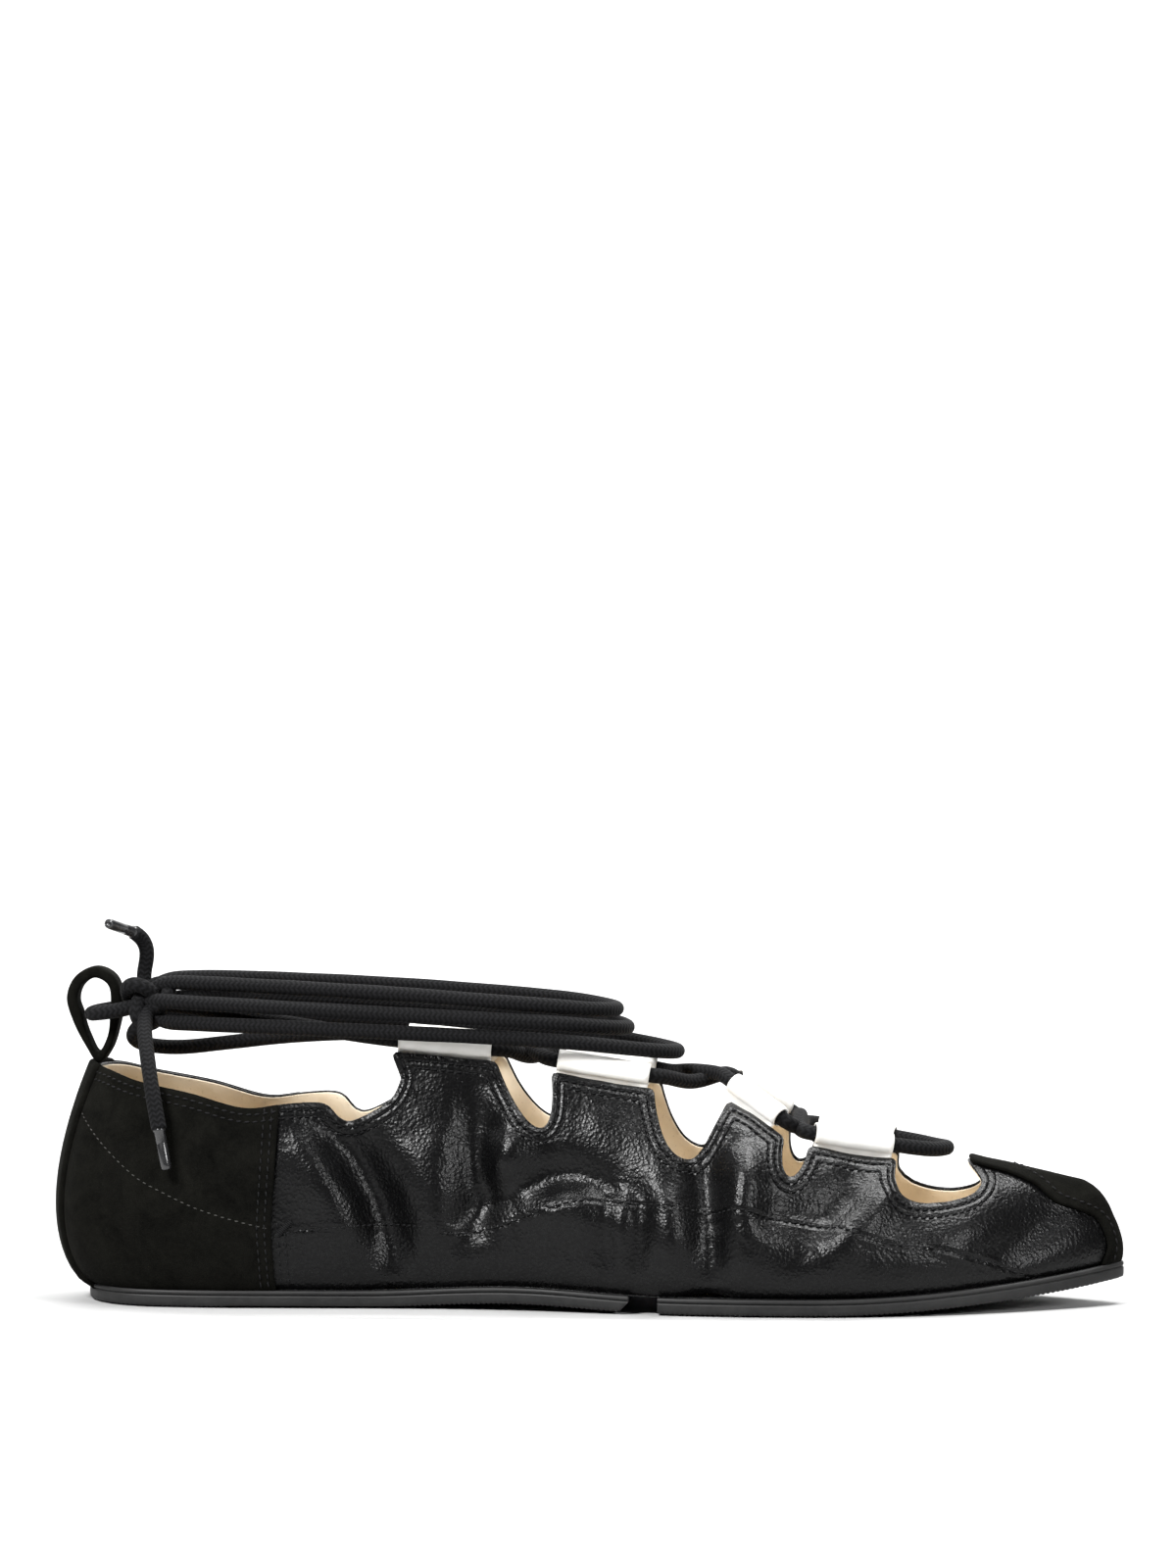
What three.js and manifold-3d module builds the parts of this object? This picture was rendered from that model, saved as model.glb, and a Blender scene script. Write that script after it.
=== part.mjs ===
// Lace-up ballerina flat, right shoe. Millimetres, +X to the toe, +Y to the inner side, +Z up.
// The last is a fan of ribs. Each rib climbs from the edge of the sole to the ridge of the foot.
// Upper, suede panels, insole and soles are all worked out from that one form.
import * as THREE from 'three';
import { mergeVertices } from 'three/addons/utils/BufferGeometryUtils.js';
import Module from 'manifold-3d';

const wasm = await Module();
wasm.setup();

// Driving sizes
const soleLength = 263;
const heelWidth = 52;
const ballWidth = 75;
const instepHeight = 64;
const backHeight = 59;
const toeTurn = 3;
const soleThickness = 4.2;
const archRise = 1.4;
const toeSpring = 6.5;
const upperWall = 1.6;
const featherInset = 2;
const lastingMargin = 11;
const insoleThickness = 1.5;
const suedeThickness = 0.9;
const stripThickness = 1.4;
const stripWidth = 14;
const strapWidth = 8;
const laceDiameter = 3.8;
const tunnelWall = 0.6;
const laceClearance = 0.45;
const strapThickness = 2.4;
const agletLength = 10;
const agletDiameter = 2.8;
const clearance = 0.3;

// Feather line, where the upper meets the sole
const feather = soleThickness + clearance;

// The last, from the back of the heel to the tip of the toe.
// along, ridge: shares of the sole's length, at the sole's edge and on the ridge of the foot.
// outer, inner: shares of the heel's width, going over to the ball's where ball is 1.
// crown: height of the ridge as a share of the instep. bulge: mm over the sole's edge.
// square: how upright the wall stands. bulgeTop: height where the bulge ends, as a share of the instep.
const LAST_ROWS = [
  // along, outer, inner, ball, ridge, crown, square, bulge, bulgeTop
  [0, 0, 0, 0, 0.091, 1.28, 0.5, 9, 1.15],
  [0.013, 0.25, 0.25, 0, 0.103, 1.28, 0.5, 8, 1.15],
  [0.049, 0.433, 0.433, 0, 0.125, 1.27, 0.5, 5, 1.1],
  [0.114, 0.5, 0.5, 0, 0.16, 1.25, 0.5, 3.5, 1],
  [0.209, 0.49, 0.45, 0, 0.228, 1.2, 0.5, 2.5, 0.9],
  [0.323, 0.386, 0.323, 0.5, 0.323, 1.13, 0.55, 2.5, 0.92],
  [0.418, 0.36, 0.287, 1, 0.418, 1.07, 0.65, 3, 0.85],
  [0.513, 0.433, 0.367, 1, 0.513, 0.985, 0.75, 3.5, 0.78],
  [0.608, 0.493, 0.46, 1, 0.608, 0.86, 0.85, 3.5, 0.69],
  [0.703, 0.5, 0.493, 1, 0.703, 0.74, 0.95, 3, 0.6],
  [0.791, 0.447, 0.467, 1, 0.791, 0.63, 1, 2.5, 0.5],
  [0.867, 0.333, 0.38, 1, 0.857, 0.535, 1, 2, 0.41],
  [0.932, 0.193, 0.247, 1, 0.905, 0.47, 1, 1.5, 0.34],
  [0.977, 0.067, 0.133, 1, 0.936, 0.425, 1, 1, 0.28],
  [1, 0, 0, 1, 0.951, 0.4, 1, 0.8, 0.25],
];

const LAST = LAST_ROWS.map(([along, outer, inner, ball, ridge, crown, square, bulge, bulgeTop]) => (
  { along, outer, inner, ball, ridge, crown, square, bulge, bulgeTop }
));

// Top line of the collar, from the back seam to the first tab.
// along: share of the sole's length. height: share of the back's height, from the floor of the sole.
const COLLAR = [
  { along: -0.05, height: 1.01 },
  { along: 0.014, height: 1 },
  { along: 0.056, height: 0.949 },
  { along: 0.109, height: 0.9 },
  { along: 0.161, height: 0.839 },
  { along: 0.204, height: 0.858 },
  { along: 0.236, height: 0.864 },
  { along: 0.25, height: 0.81 },
  { along: 0.262, height: 0.79 },
  { along: 0.282, height: 0.822 },
  { along: 0.303, height: 0.883 },
  { along: 0.312, height: 0.968 },
];

// Laced tabs, from the ankle to the toe, and the notch in front of each.
// Places along are shares of the sole's length, heights shares of the instep.
// notchBack, notchFront: how far the notch reaches. floor: its lowest point.
const TAB_ROWS = [
  // back, backTop, front, frontTop, notchBack, notchFront, floor
  [0.302, 0.99, 0.4, 0.938, 0.433, 0.466, 0.683],
  [0.456, 0.9, 0.551, 0.857, 0.562, 0.594, 0.611],
  [0.624, 0.815, 0.676, 0.674, 0.668, 0.696, 0.528],
  [0.702, 0.638, 0.782, 0.579, 0, 0, 0],
];

const TABS = TAB_ROWS.map(([back, backTop, front, frontTop, notchBack, notchFront, floor]) => (
  { back, backTop, front, frontTop, notchBack, notchFront, floor }
));

// Front opening, from the last tab to the peak of the vamp
const OPENING = [
  { along: 0.782, height: 0.579 },
  { along: 0.781, height: 0.5 },
  { along: 0.789, height: 0.439 },
  { along: 0.808, height: 0.409 },
  { along: 0.834, height: 0.402 },
  { along: 0.856, height: 0.415 },
  { along: 0.866, height: 0.456 },
  { along: 0.861, height: 0.5 },
  { along: 0.852, height: 0.545 },
];

// Seams seen from the side, from the top line down to the sole
const QUARTER_SEAM = [
  { along: 0.195, height: 0.92 },
  { along: 0.191, height: 0.62 },
  { along: 0.187, height: 0.31 },
  { along: 0.192, height: 0 },
];
const CAP_SEAM = [
  { along: 0.84, height: 0.54 },
  { along: 0.862, height: 0.516 },
  { along: 0.891, height: 0.469 },
  { along: 0.916, height: 0.417 },
  { along: 0.935, height: 0.353 },
  { along: 0.953, height: 0.314 },
  { along: 0.972, height: 0.261 },
  { along: 0.981, height: 0.197 },
  { along: 0.984, height: 0.123 },
  { along: 0.975, height: 0.03 },
];

// Sole pieces seen from the side. along: share of the length. height: mm.
const heelPadEnd = 0.144;
const heelPadStep = 0.4;
const splitStart = 0.532;
const splitEnd = 0.56;
const splitChamfer = 2.4;

// Edge of the sole in section, from the floor up. out: mm from the outline. up: share of the thickness.
const SOLE_EDGE = [
  { out: -1, up: 0 },
  { out: -0.1, up: 0.16 },
  { out: 0, up: 0.66 },
  { out: -0.45, up: 0.72 },
  { out: 0, up: 0.78 },
  { out: -0.2, up: 1 },
];

// Rise of the sole over the floor: a low arch at the waist and the spring of the toe
const archStart = 0.27 * soleLength;
const archEnd = 0.57 * soleLength;
const springStart = 0.715 * soleLength;

// Fineness of the form
const ribsPerRow = 3;
const levels = 8;
const levelSpread = 1.35;
const bulgeLean = 0.6;
const cordSides = 8;
const wide = soleLength;

const colours = {
  nappa: new THREE.MeshStandardMaterial({ color: 0x17171a, roughness: 0.38, metalness: 0 }),
  suede: new THREE.MeshStandardMaterial({ color: 0x121110, roughness: 0.95, metalness: 0 }),
  lining: new THREE.MeshStandardMaterial({ color: 0xe6d9c2, roughness: 0.6, metalness: 0 }),
  pale: new THREE.MeshStandardMaterial({ color: 0xefece6, roughness: 0.4, metalness: 0 }),
  rubber: new THREE.MeshStandardMaterial({ color: 0x1c1c1d, roughness: 0.7, metalness: 0 }),
  lace: new THREE.MeshStandardMaterial({ color: 0x141416, roughness: 0.85, metalness: 0 }),
  tip: new THREE.MeshStandardMaterial({ color: 0x2c2c2e, roughness: 0.25, metalness: 0.2 }),
};

const lastRow = LAST.length - 1;
const ribs = lastRow * ribsPerRow;

function outlineOf(row, side) {
  const width = heelWidth * (1 - row.ball) + ballWidth * row.ball;
  const reach = side === 'outer' ? -row.outer * width : row.inner * width;
  const turn = row.along === 1 ? toeTurn : 0;
  return new THREE.Vector3(row.along * soleLength, reach + turn, 0);
}

const outerEdge = LAST.map((row) => outlineOf(row, 'outer'));
const innerEdge = LAST.slice(1, lastRow).map((row) => outlineOf(row, 'inner')).reverse();
const outline = new THREE.CatmullRomCurve3([...outerEdge, ...innerEdge], true);

function ridgeOf(row) {
  const middle = (outlineOf(row, 'outer').y + outlineOf(row, 'inner').y) / 2;
  return new THREE.Vector3(row.ridge * soleLength, middle, row.crown * instepHeight);
}

const ridge = new THREE.CatmullRomCurve3(LAST.map(ridgeOf));
const stance = new THREE.CatmullRomCurve3(
  LAST.map((row) => new THREE.Vector3(row.square, row.bulge, row.bulgeTop * instepHeight)),
);

function outlinePoint(side, place) {
  const share = place / (2 * lastRow);
  return outline.getPoint(side === 'outer' ? share : (1 - share) % 1);
}

function rise(x) {
  const archShare = THREE.MathUtils.clamp((x - archStart) / (archEnd - archStart), 0, 1);
  const springShare = Math.max(0, (x - springStart) / (soleLength - springStart));
  return archRise * Math.sin(Math.PI * archShare) ** 2 + toeSpring * springShare ** 1.8;
}

// A point of the last: place counts rows of LAST, share climbs from the sole to the ridge.
function formPoint(side, place, share, grow, foot) {
  const edge = outlinePoint(side, place);
  const top = ridge.getPoint(place / lastRow);
  const shape = stance.getPoint(place / lastRow);
  const inward = new THREE.Vector2(top.x - edge.x, top.y - edge.y);
  const reach = inward.length();
  const inset = featherInset - grow;
  const angle = share * Math.PI / 2;
  const height = foot + (top.z + grow - foot) * Math.sin(angle);
  const bulgeShare = THREE.MathUtils.clamp((height - feather) / (shape.z - feather), 0, 1);
  const bulge = shape.y * Math.sin(Math.PI * bulgeShare ** bulgeLean);
  const lean = 1 - Math.max(0, Math.cos(angle)) ** shape.x;
  const plan = inward.normalize().multiplyScalar(inset + (reach - inset) * lean - bulge);
  const x = edge.x + plan.x;
  return new THREE.Vector3(x, edge.y + plan.y, height + rise(x));
}

// Manifold solid of a closed mesh, with its shared corners merged and its empty triangles dropped
function solidOf(geometry) {
  const bare = geometry.clone();
  bare.deleteAttribute('normal');
  bare.deleteAttribute('uv');
  const merged = mergeVertices(bare, 1e-3);
  const index = merged.index.array;
  const kept = [];
  for (let i = 0; i < index.length; i += 3) {
    const [a, b, c] = [index[i], index[i + 1], index[i + 2]];
    if (a !== b && b !== c && a !== c) kept.push(a, b, c);
  }
  const mesh = new wasm.Mesh({
    numProp: 3,
    vertProperties: new Float32Array(merged.attributes.position.array),
    triVerts: new Uint32Array(kept),
  });
  return new wasm.Manifold(mesh);
}

function geometryOf(solid) {
  const mesh = solid.getMesh();
  const geometry = new THREE.BufferGeometry();
  geometry.setAttribute('position', new THREE.BufferAttribute(new Float32Array(mesh.vertProperties), 3));
  geometry.setIndex(new THREE.BufferAttribute(new Uint32Array(mesh.triVerts), 1));
  geometry.computeVertexNormals();
  return geometry;
}

// Closed skin over a row of loops with equally many points. Each loop is a closed ring.
function loft(rings) {
  const count = rings[0].length;
  const positions = [];
  const index = [];
  for (const ring of rings) {
    for (const point of ring) positions.push(point.x, point.y, point.z);
  }
  for (let i = 0; i + 1 < rings.length; i += 1) {
    for (let j = 0; j < count; j += 1) {
      const a = i * count + j;
      const b = i * count + (j + 1) % count;
      index.push(a, b + count, b, a, a + count, b + count);
    }
  }
  const geometry = new THREE.BufferGeometry();
  geometry.setAttribute('position', new THREE.Float32BufferAttribute(positions, 3));
  geometry.setIndex(index);
  return geometry;
}

// Flat lids over the first and last ring of a loft, as fans
function lids(geometry, rings) {
  const count = rings[0].length;
  const index = [...geometry.index.array];
  const end = (rings.length - 1) * count;
  for (let j = 1; j + 1 < count; j += 1) {
    index.push(0, j, j + 1);
    index.push(end, end + j + 1, end + j);
  }
  geometry.setIndex(index);
  return geometry;
}

// The last as a solid, grown outwards by grow, with its foot at a height over the floor.
// drop lowers the foot's edge alone, to cut right through a shell.
function formSolid(grow, foot, drop = 0) {
  const rings = [];
  for (let i = 0; i <= ribs; i += 1) {
    const place = i / ribsPerRow;
    const ring = [];
    for (let j = 0; j <= levels; j += 1) {
      ring.push(formPoint('outer', place, (j / levels) ** levelSpread, grow, foot));
    }
    for (let j = levels - 1; j >= 0; j -= 1) {
      ring.push(formPoint('inner', place, (j / levels) ** levelSpread, grow, foot));
    }
    ring[0].z -= drop;
    ring[2 * levels].z -= drop;
    rings.push(ring);
  }
  return solidOf(loft(rings));
}

// A region seen from the side, as a block from one side of the shoe to the other
function sideBlock(points, from, to) {
  const shape = new THREE.Shape(points);
  const geometry = new THREE.ExtrudeGeometry(shape, { depth: to - from, bevelEnabled: false });
  geometry.rotateX(Math.PI / 2);
  geometry.translate(0, to, 0);
  return solidOf(geometry);
}

function seamPoints(rows) {
  return rows.map((row) => {
    const x = row.along * soleLength;
    return new THREE.Vector2(x, row.height * instepHeight + rise(x));
  });
}

function smooth(points, steps) {
  return new THREE.SplineCurve(points).getPoints(steps);
}

function notchPoints(tab, next) {
  const from = new THREE.Vector2(tab.front, tab.frontTop);
  const to = new THREE.Vector2(next.back, next.backTop);
  const pull = (tab.floor - (from.y + to.y) / 8) * 4 / 3;
  const curve = new THREE.CubicBezierCurve(
    from,
    new THREE.Vector2(tab.notchBack, pull),
    new THREE.Vector2(tab.notchFront, pull),
    to,
  );
  return curve.getPoints(8).slice(1).map((point) => ({ along: point.x, height: point.y }));
}

// The scalloped top line: collar, four tabs, front opening, peak of the vamp
function topLine() {
  const collarRows = COLLAR.map((row) => {
    const x = row.along * soleLength;
    return new THREE.Vector2(x, row.height * backHeight + rise(x));
  });
  const line = smooth(collarRows, 24);
  TABS.forEach((tab, i) => {
    const rows = [{ along: tab.back, height: tab.backTop }, { along: tab.front, height: tab.frontTop }];
    line.push(...seamPoints(i === 0 ? rows : rows.slice(1)));
    if (i + 1 < TABS.length) line.push(...seamPoints(notchPoints(tab, TABS[i + 1])));
  });
  line.push(...smooth(seamPoints(OPENING), 14).slice(1));
  return line;
}

function throatCutter() {
  const line = topLine();
  const start = line[0];
  const end = line[line.length - 1];
  line.push(new THREE.Vector2(end.x, wide));
  line.push(new THREE.Vector2(start.x, wide));
  return sideBlock(line, -wide, wide);
}

// A plate inside the sole's outline, between two heights over the sole's floor
function plate(inset, low, high) {
  const rings = [];
  for (let i = 0; i <= ribs; i += 1) {
    const place = i / ribsPerRow;
    const top = ridge.getPoint(place / lastRow);
    const [outer, inner] = ['outer', 'inner'].map((side) => {
      const edge = outlinePoint(side, place);
      const inward = new THREE.Vector3(top.x - edge.x, top.y - edge.y, 0);
      return { reach: inward.length(), point: edge.add(inward.setLength(inset)) };
    });
    if (Math.min(outer.reach, inner.reach) < 1.3 * inset) continue;
    const corner = ({ point }, height) => new THREE.Vector3(point.x, point.y, rise(point.x) + height);
    rings.push([corner(outer, low), corner(outer, high), corner(inner, high), corner(inner, low)]);
  }
  return solidOf(lids(loft(rings), rings));
}

// Upper: outer form, less the room of the foot, the throat and the sole's side of the lasting margin
const throat = throatCutter();
const insoleFloor = feather + upperWall + clearance;

function makeUpper() {
  const shell = formSolid(0, feather).subtract(formSolid(-upperWall, feather + upperWall));
  const underside = plate(featherInset + lastingMargin, feather - 1, feather + upperWall + 1);
  return shell.subtract(throat).subtract(underside);
}

function makeInsole() {
  const edge = featherInset + upperWall + 3 * clearance;
  const sheet = plate(edge, insoleFloor, insoleFloor + insoleThickness);
  const filler = plate(
    featherInset + lastingMargin + clearance,
    feather,
    insoleFloor + insoleThickness / 2,
  );
  return sheet.add(filler);
}

// Suede panels lie on the upper, cut between two larger forms
function panel(thickness, region) {
  const skin = formSolid(clearance + thickness, feather).subtract(formSolid(clearance, feather, 1));
  return skin.subtract(throat).intersect(region);
}

function quarterRegion(from, to) {
  const seam = seamPoints(QUARTER_SEAM);
  const back = -wide;
  const points = [
    new THREE.Vector2(back, 0),
    new THREE.Vector2(back, wide),
    new THREE.Vector2(seam[0].x, wide),
    ...seam,
  ];
  return sideBlock(points, from, to);
}

function backRegion() {
  const front = featherInset + heelWidth / 4;
  const points = [[-wide, 0], [-wide, wide], [front, wide], [front, 0]];
  return sideBlock(points.map(([x, z]) => new THREE.Vector2(x, z)), -stripWidth / 2, stripWidth / 2);
}

function capRegion() {
  const seam = seamPoints(CAP_SEAM);
  const front = soleLength + wide;
  const points = [...seam, new THREE.Vector2(front, 0), new THREE.Vector2(front, wide)];
  points.push(new THREE.Vector2(seam[0].x, wide));
  return sideBlock(points, -wide, wide);
}

// Outsole: one edge profile carried round the outline, then cut into heel and forefoot pieces
function wholeSole() {
  const rings = [];
  for (let i = 0; i <= ribs; i += 1) {
    const place = i / ribsPerRow;
    const top = ridge.getPoint(place / lastRow);
    const edgePoint = (side, row) => {
      const edge = outlinePoint(side, place);
      const out = new THREE.Vector2(edge.x - top.x, edge.y - top.y).normalize().multiplyScalar(row.out);
      return new THREE.Vector3(edge.x + out.x, edge.y + out.y, rise(edge.x) + row.up * soleThickness);
    };
    const outerSide = SOLE_EDGE.map((row) => edgePoint('outer', row));
    const innerSide = SOLE_EDGE.map((row) => edgePoint('inner', row)).reverse();
    rings.push([...outerSide, ...innerSide]);
  }
  return solidOf(loft(rings));
}

function heelRegion() {
  const end = splitStart * soleLength;
  const pad = heelPadEnd * soleLength;
  const points = [
    [-wide, -1],
    [pad, -1],
    [pad, heelPadStep],
    [end - splitChamfer, heelPadStep],
    [end, heelPadStep + splitChamfer],
    [end, wide],
    [-wide, wide],
  ];
  return sideBlock(points.map(([x, z]) => new THREE.Vector2(x, z)), -wide, wide);
}

function forefootRegion() {
  const start = splitEnd * soleLength;
  const points = [[start, -1], [soleLength + wide, -1], [soleLength + wide, wide], [start, wide]];
  return sideBlock(points.map(([x, z]) => new THREE.Vector2(x, z)), -wide, wide);
}

const sole = wholeSole();
const shoe = new THREE.Group();

function addSolid(name, solid, material) {
  const mesh = new THREE.Mesh(geometryOf(solid), material);
  mesh.name = name;
  shoe.add(mesh);
}

addSolid('outsole_heel', sole.intersect(heelRegion()), colours.rubber);
addSolid('outsole_forefoot', sole.intersect(forefootRegion()), colours.rubber);
addSolid('upper', makeUpper(), colours.nappa);
addSolid('insole', makeInsole(), colours.lining);
const stripEdge = stripWidth / 2 + clearance;
addSolid('quarter_outer', panel(suedeThickness, quarterRegion(-wide, -stripEdge)), colours.suede);
addSolid('quarter_inner', panel(suedeThickness, quarterRegion(stripEdge, wide)), colours.suede);
addSolid('back_strip', panel(stripThickness, backRegion()), colours.suede);
addSolid('toe_cap', panel(suedeThickness, capRegion()), colours.suede);

// Place on the last's outer skin for a length along the sole and a height over its floor
function skinPoint(side, along, height) {
  let low = 0;
  let high = lastRow;
  for (let i = 0; i < 30; i += 1) {
    const middle = (low + high) / 2;
    if (outlinePoint(side, middle).x < along * soleLength) low = middle;
    else high = middle;
  }
  const top = ridge.getPoint(low / lastRow);
  const climb = Math.min(1, (height - feather) / (top.z - feather));
  return formPoint(side, low, Math.asin(climb) / (Math.PI / 2), 0, feather);
}

// Tube of a round cord along a hand-laid route
function cordSolid(points, steps) {
  const circle = new THREE.Shape().absarc(0, 0, laceDiameter / 2, 0, 2 * Math.PI);
  const path = new THREE.CatmullRomCurve3(points);
  const sweep = { steps, curveSegments: cordSides / 2, extrudePath: path };
  return solidOf(new THREE.ExtrudeGeometry(circle, sweep));
}

// Pale tunnels stand on the top edge of each tab, a little inside its wall
const tunnelBore = laceDiameter / 2 + laceClearance;
const tunnelRadius = tunnelBore + tunnelWall;
const tunnelLift = tunnelRadius + clearance / 2;
const tunnelInset = tunnelRadius + clearance;
const tunnelTrim = 1;

function tunnelOf(side, tab) {
  const back = skinPoint(side, tab.back, tab.backTop * instepHeight);
  const front = skinPoint(side, tab.front, tab.frontTop * instepHeight);
  const way = front.clone().sub(back).normalize();
  const inward = side === 'outer' ? tunnelInset : -tunnelInset;
  const seat = new THREE.Vector3(0, inward, tunnelLift / way.x);
  back.add(seat);
  front.add(seat);
  back.addScaledVector(way, tunnelTrim);
  front.addScaledVector(way, -tunnelTrim);
  return { back, front, way };
}

function tunnelSolid({ back, front, way }) {
  const ring = new THREE.Shape().absarc(0, 0, tunnelRadius, 0, 2 * Math.PI);
  ring.holes.push(new THREE.Path().absarc(0, 0, tunnelBore, 0, 2 * Math.PI));
  const depth = front.distanceTo(back);
  const geometry = new THREE.ExtrudeGeometry(ring, { depth, curveSegments: 6, bevelEnabled: false });
  const turn = new THREE.Quaternion().setFromUnitVectors(new THREE.Vector3(0, 0, 1), way);
  geometry.applyQuaternion(turn);
  geometry.translate(back.x, back.y, back.z);
  return solidOf(geometry);
}

// The lace over the throat. A strand leaves one tunnel, turns, and enters one on the other side.
const laceSeat = 3;
const laceStraight = 1;
const laceTurn = 2.7;
const crossingLift = 1.3;

function strandPoints(from, fromWay, to, toWay, lift) {
  const across = new THREE.Vector3(0, Math.sign(to.y - from.y), 0);
  const centre = from.clone().add(to).multiplyScalar(0.5);
  centre.z += lift;
  const turned = laceStraight + laceTurn;
  return [
    from.clone().addScaledVector(fromWay, -laceSeat),
    from.clone().addScaledVector(fromWay, -laceStraight),
    from.clone().addScaledVector(fromWay, laceStraight),
    from.clone().addScaledVector(fromWay, turned).addScaledVector(across, laceTurn),
    centre,
    to.clone().addScaledVector(toWay, turned).addScaledVector(across, -laceTurn),
    to.clone().addScaledVector(toWay, laceStraight),
    to.clone().addScaledVector(toWay, -laceStraight),
    to.clone().addScaledVector(toWay, -laceSeat),
  ];
}

const tunnels = {
  outer: TABS.map((tab) => tunnelOf('outer', tab)),
  inner: TABS.map((tab) => tunnelOf('inner', tab)),
};

function crossing(i) {
  const backwards = (tunnel) => tunnel.way.clone().negate();
  const strand = (from, to, lift) => {
    const start = tunnels[from][i + 1];
    const end = tunnels[to][i];
    return cordSolid(strandPoints(start.back, backwards(start), end.front, end.way, lift), 13);
  };
  return strand('outer', 'inner', crossingLift).add(strand('inner', 'outer', -crossingLift));
}

// The front bar is a bight: it runs on forward from both loops and turns over the front opening
const barRun = 6;
const barReach = 11;
const barTurn = 3;
const barNose = 3.3;

function barSide(mouth, inwards) {
  const place = (reach, aside) => {
    const point = mouth.front.clone().addScaledVector(mouth.way, reach);
    point.y += inwards * aside;
    return point;
  };
  return [
    place(-laceSeat, 0),
    place(-laceStraight, 0),
    place(laceStraight, 0),
    place(barRun, 0),
    place(barReach, barTurn),
  ];
}

function frontBar() {
  const near = barSide(tunnels.outer[TABS.length - 1], 1);
  const far = barSide(tunnels.inner[TABS.length - 1], -1).reverse();
  const nose = near[4].clone().add(far[0]).multiplyScalar(0.5);
  nose.x += barNose;
  return cordSolid([...near, nose, ...far], 16);
}

TABS.forEach((tab, i) => {
  addSolid(`lace_loop_outer_${i + 1}`, tunnelSolid(tunnels.outer[i]), colours.pale);
  addSolid(`lace_loop_inner_${i + 1}`, tunnelSolid(tunnels.inner[i]), colours.pale);
});
for (let i = 0; i + 1 < TABS.length; i += 1) addSolid(`lace_cross_${i + 1}`, crossing(i), colours.lace);
addSolid('lace_front_bar', frontBar(), colours.lace);

// Pull loop: a suede strap stands on the back seam. along, height: shares of the loop's height.
const loopHeight = 25;
const STRAP = [
  { along: 0, height: 0 },
  { along: -0.13, height: 0.17 },
  { along: -0.27, height: 0.44 },
  { along: -0.33, height: 0.68 },
  { along: -0.24, height: 0.89 },
  { along: -0.04, height: 0.99 },
  { along: 0.16, height: 0.9 },
  { along: 0.24, height: 0.66 },
  { along: 0.2, height: 0.38 },
  { along: 0.12, height: 0.14 },
];
const strapHub = { along: -0.04, height: 0.6 };

function pullLoop() {
  const seamTop = skinPoint('outer', 0, backHeight - clearance);
  const place = (row) => new THREE.Vector3(
    seamTop.x + upperWall / 2 + row.along * loopHeight,
    backHeight + 2 * clearance + row.height * loopHeight,
    0,
  );
  const rim = new THREE.CatmullRomCurve3(STRAP.map(place), true).getPoints(30).slice(1);
  const hub = place(strapHub);
  const hole = rim.map((point) => {
    const inward = hub.clone().sub(point).normalize();
    return point.clone().addScaledVector(inward, strapThickness);
  });
  const flat = (points) => points.map((point) => new THREE.Vector2(point.x, point.y));
  const shape = new THREE.Shape(flat(rim));
  shape.holes.push(new THREE.Path(flat(hole).reverse()));
  const geometry = new THREE.ExtrudeGeometry(shape, { depth: strapWidth, bevelEnabled: false });
  geometry.rotateX(Math.PI / 2);
  geometry.translate(0, strapWidth / 2, 0);
  return solidOf(geometry);
}

addSolid('pull_loop', pullLoop(), colours.suede);

// The free lace, laid by hand in mm from the back of the sole: x, y, z
const knotCentre = new THREE.Vector3(15.5, -4.5, 76);
const knotRadius = 6.2;
const KNOT_TURN = [
  [13, -8, 74.5], [7, -7.6, 73.2], [1.6, -6.6, 72.5], [0.6, 0, 72.3], [1.6, 6.6, 72.5],
  [7, 7.6, 73.4], [12.5, 3.5, 75.4], [14.5, -1, 76],
];
const STRAND_OUTER = [
  [70, -14.3, 68], [55, -14, 70.4], [40, -11.5, 72.3], [29, -7.8, 74], [21.9, -5.2, 74.7],
];
const STRAND_INNER = [
  [68, 10.5, 66.8], [50, 10.5, 66], [34, 8, 64.4], [22, 4.5, 63], [13.8, 1, 62.4],
  [11.4, -3.2, 62.9], [13, -4.4, 65.6], [15.3, -4, 68.9],
];
const WRAP_1 = [
  [20.6, -7.3, 80.4], [30, -11.5, 80.6], [55, -16.5, 79.8], [80, -19.3, 78.6], [103, -19.8, 77],
  [120, -17, 75.6], [130.5, -10.5, 74.4], [134.8, -0.5, 74], [131, 9.5, 74.4], [121, 15.8, 75.6],
  [103, 18.8, 77], [80, 18.3, 78.6], [55, 15, 80], [35, 8.5, 81], [25.5, 2, 81.3], [20, -1.6, 80.9],
];
const WRAP_2 = [
  [20, -10.2, 76], [28, -14, 75.8], [50, -18.5, 75], [80, -21, 73.6], [103, -21.3, 72.5],
  [122, -18.5, 71.3], [133, -11.5, 70], [137.5, -0.5, 69.3], [133.5, 10.5, 70], [123, 16.8, 71.3],
  [103, 20, 72.6], [80, 19.8, 74], [50, 15, 75.8], [32, 9, 76.6], [24.5, 2.5, 76.4], [21, 0.3, 76],
];
const WRAP_3 = [
  [19.6, -7.9, 70.8], [27, -12.5, 70.5], [45, -18, 70.2], [80, -20.4, 69], [103, -20.3, 68],
  [125, -18.8, 66.6], [140, -14, 64.8], [148, -6, 63.6], [150.3, 1, 63.3], [147.5, 7.5, 63.7],
  [139, 14, 64.9], [125, 18.6, 66.6], [103, 19.8, 68], [80, 19, 69.2], [50, 14.5, 71],
  [33, 8.5, 71.5], [24.5, 2, 71.3], [19.3, -0.7, 70.7],
];
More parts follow.
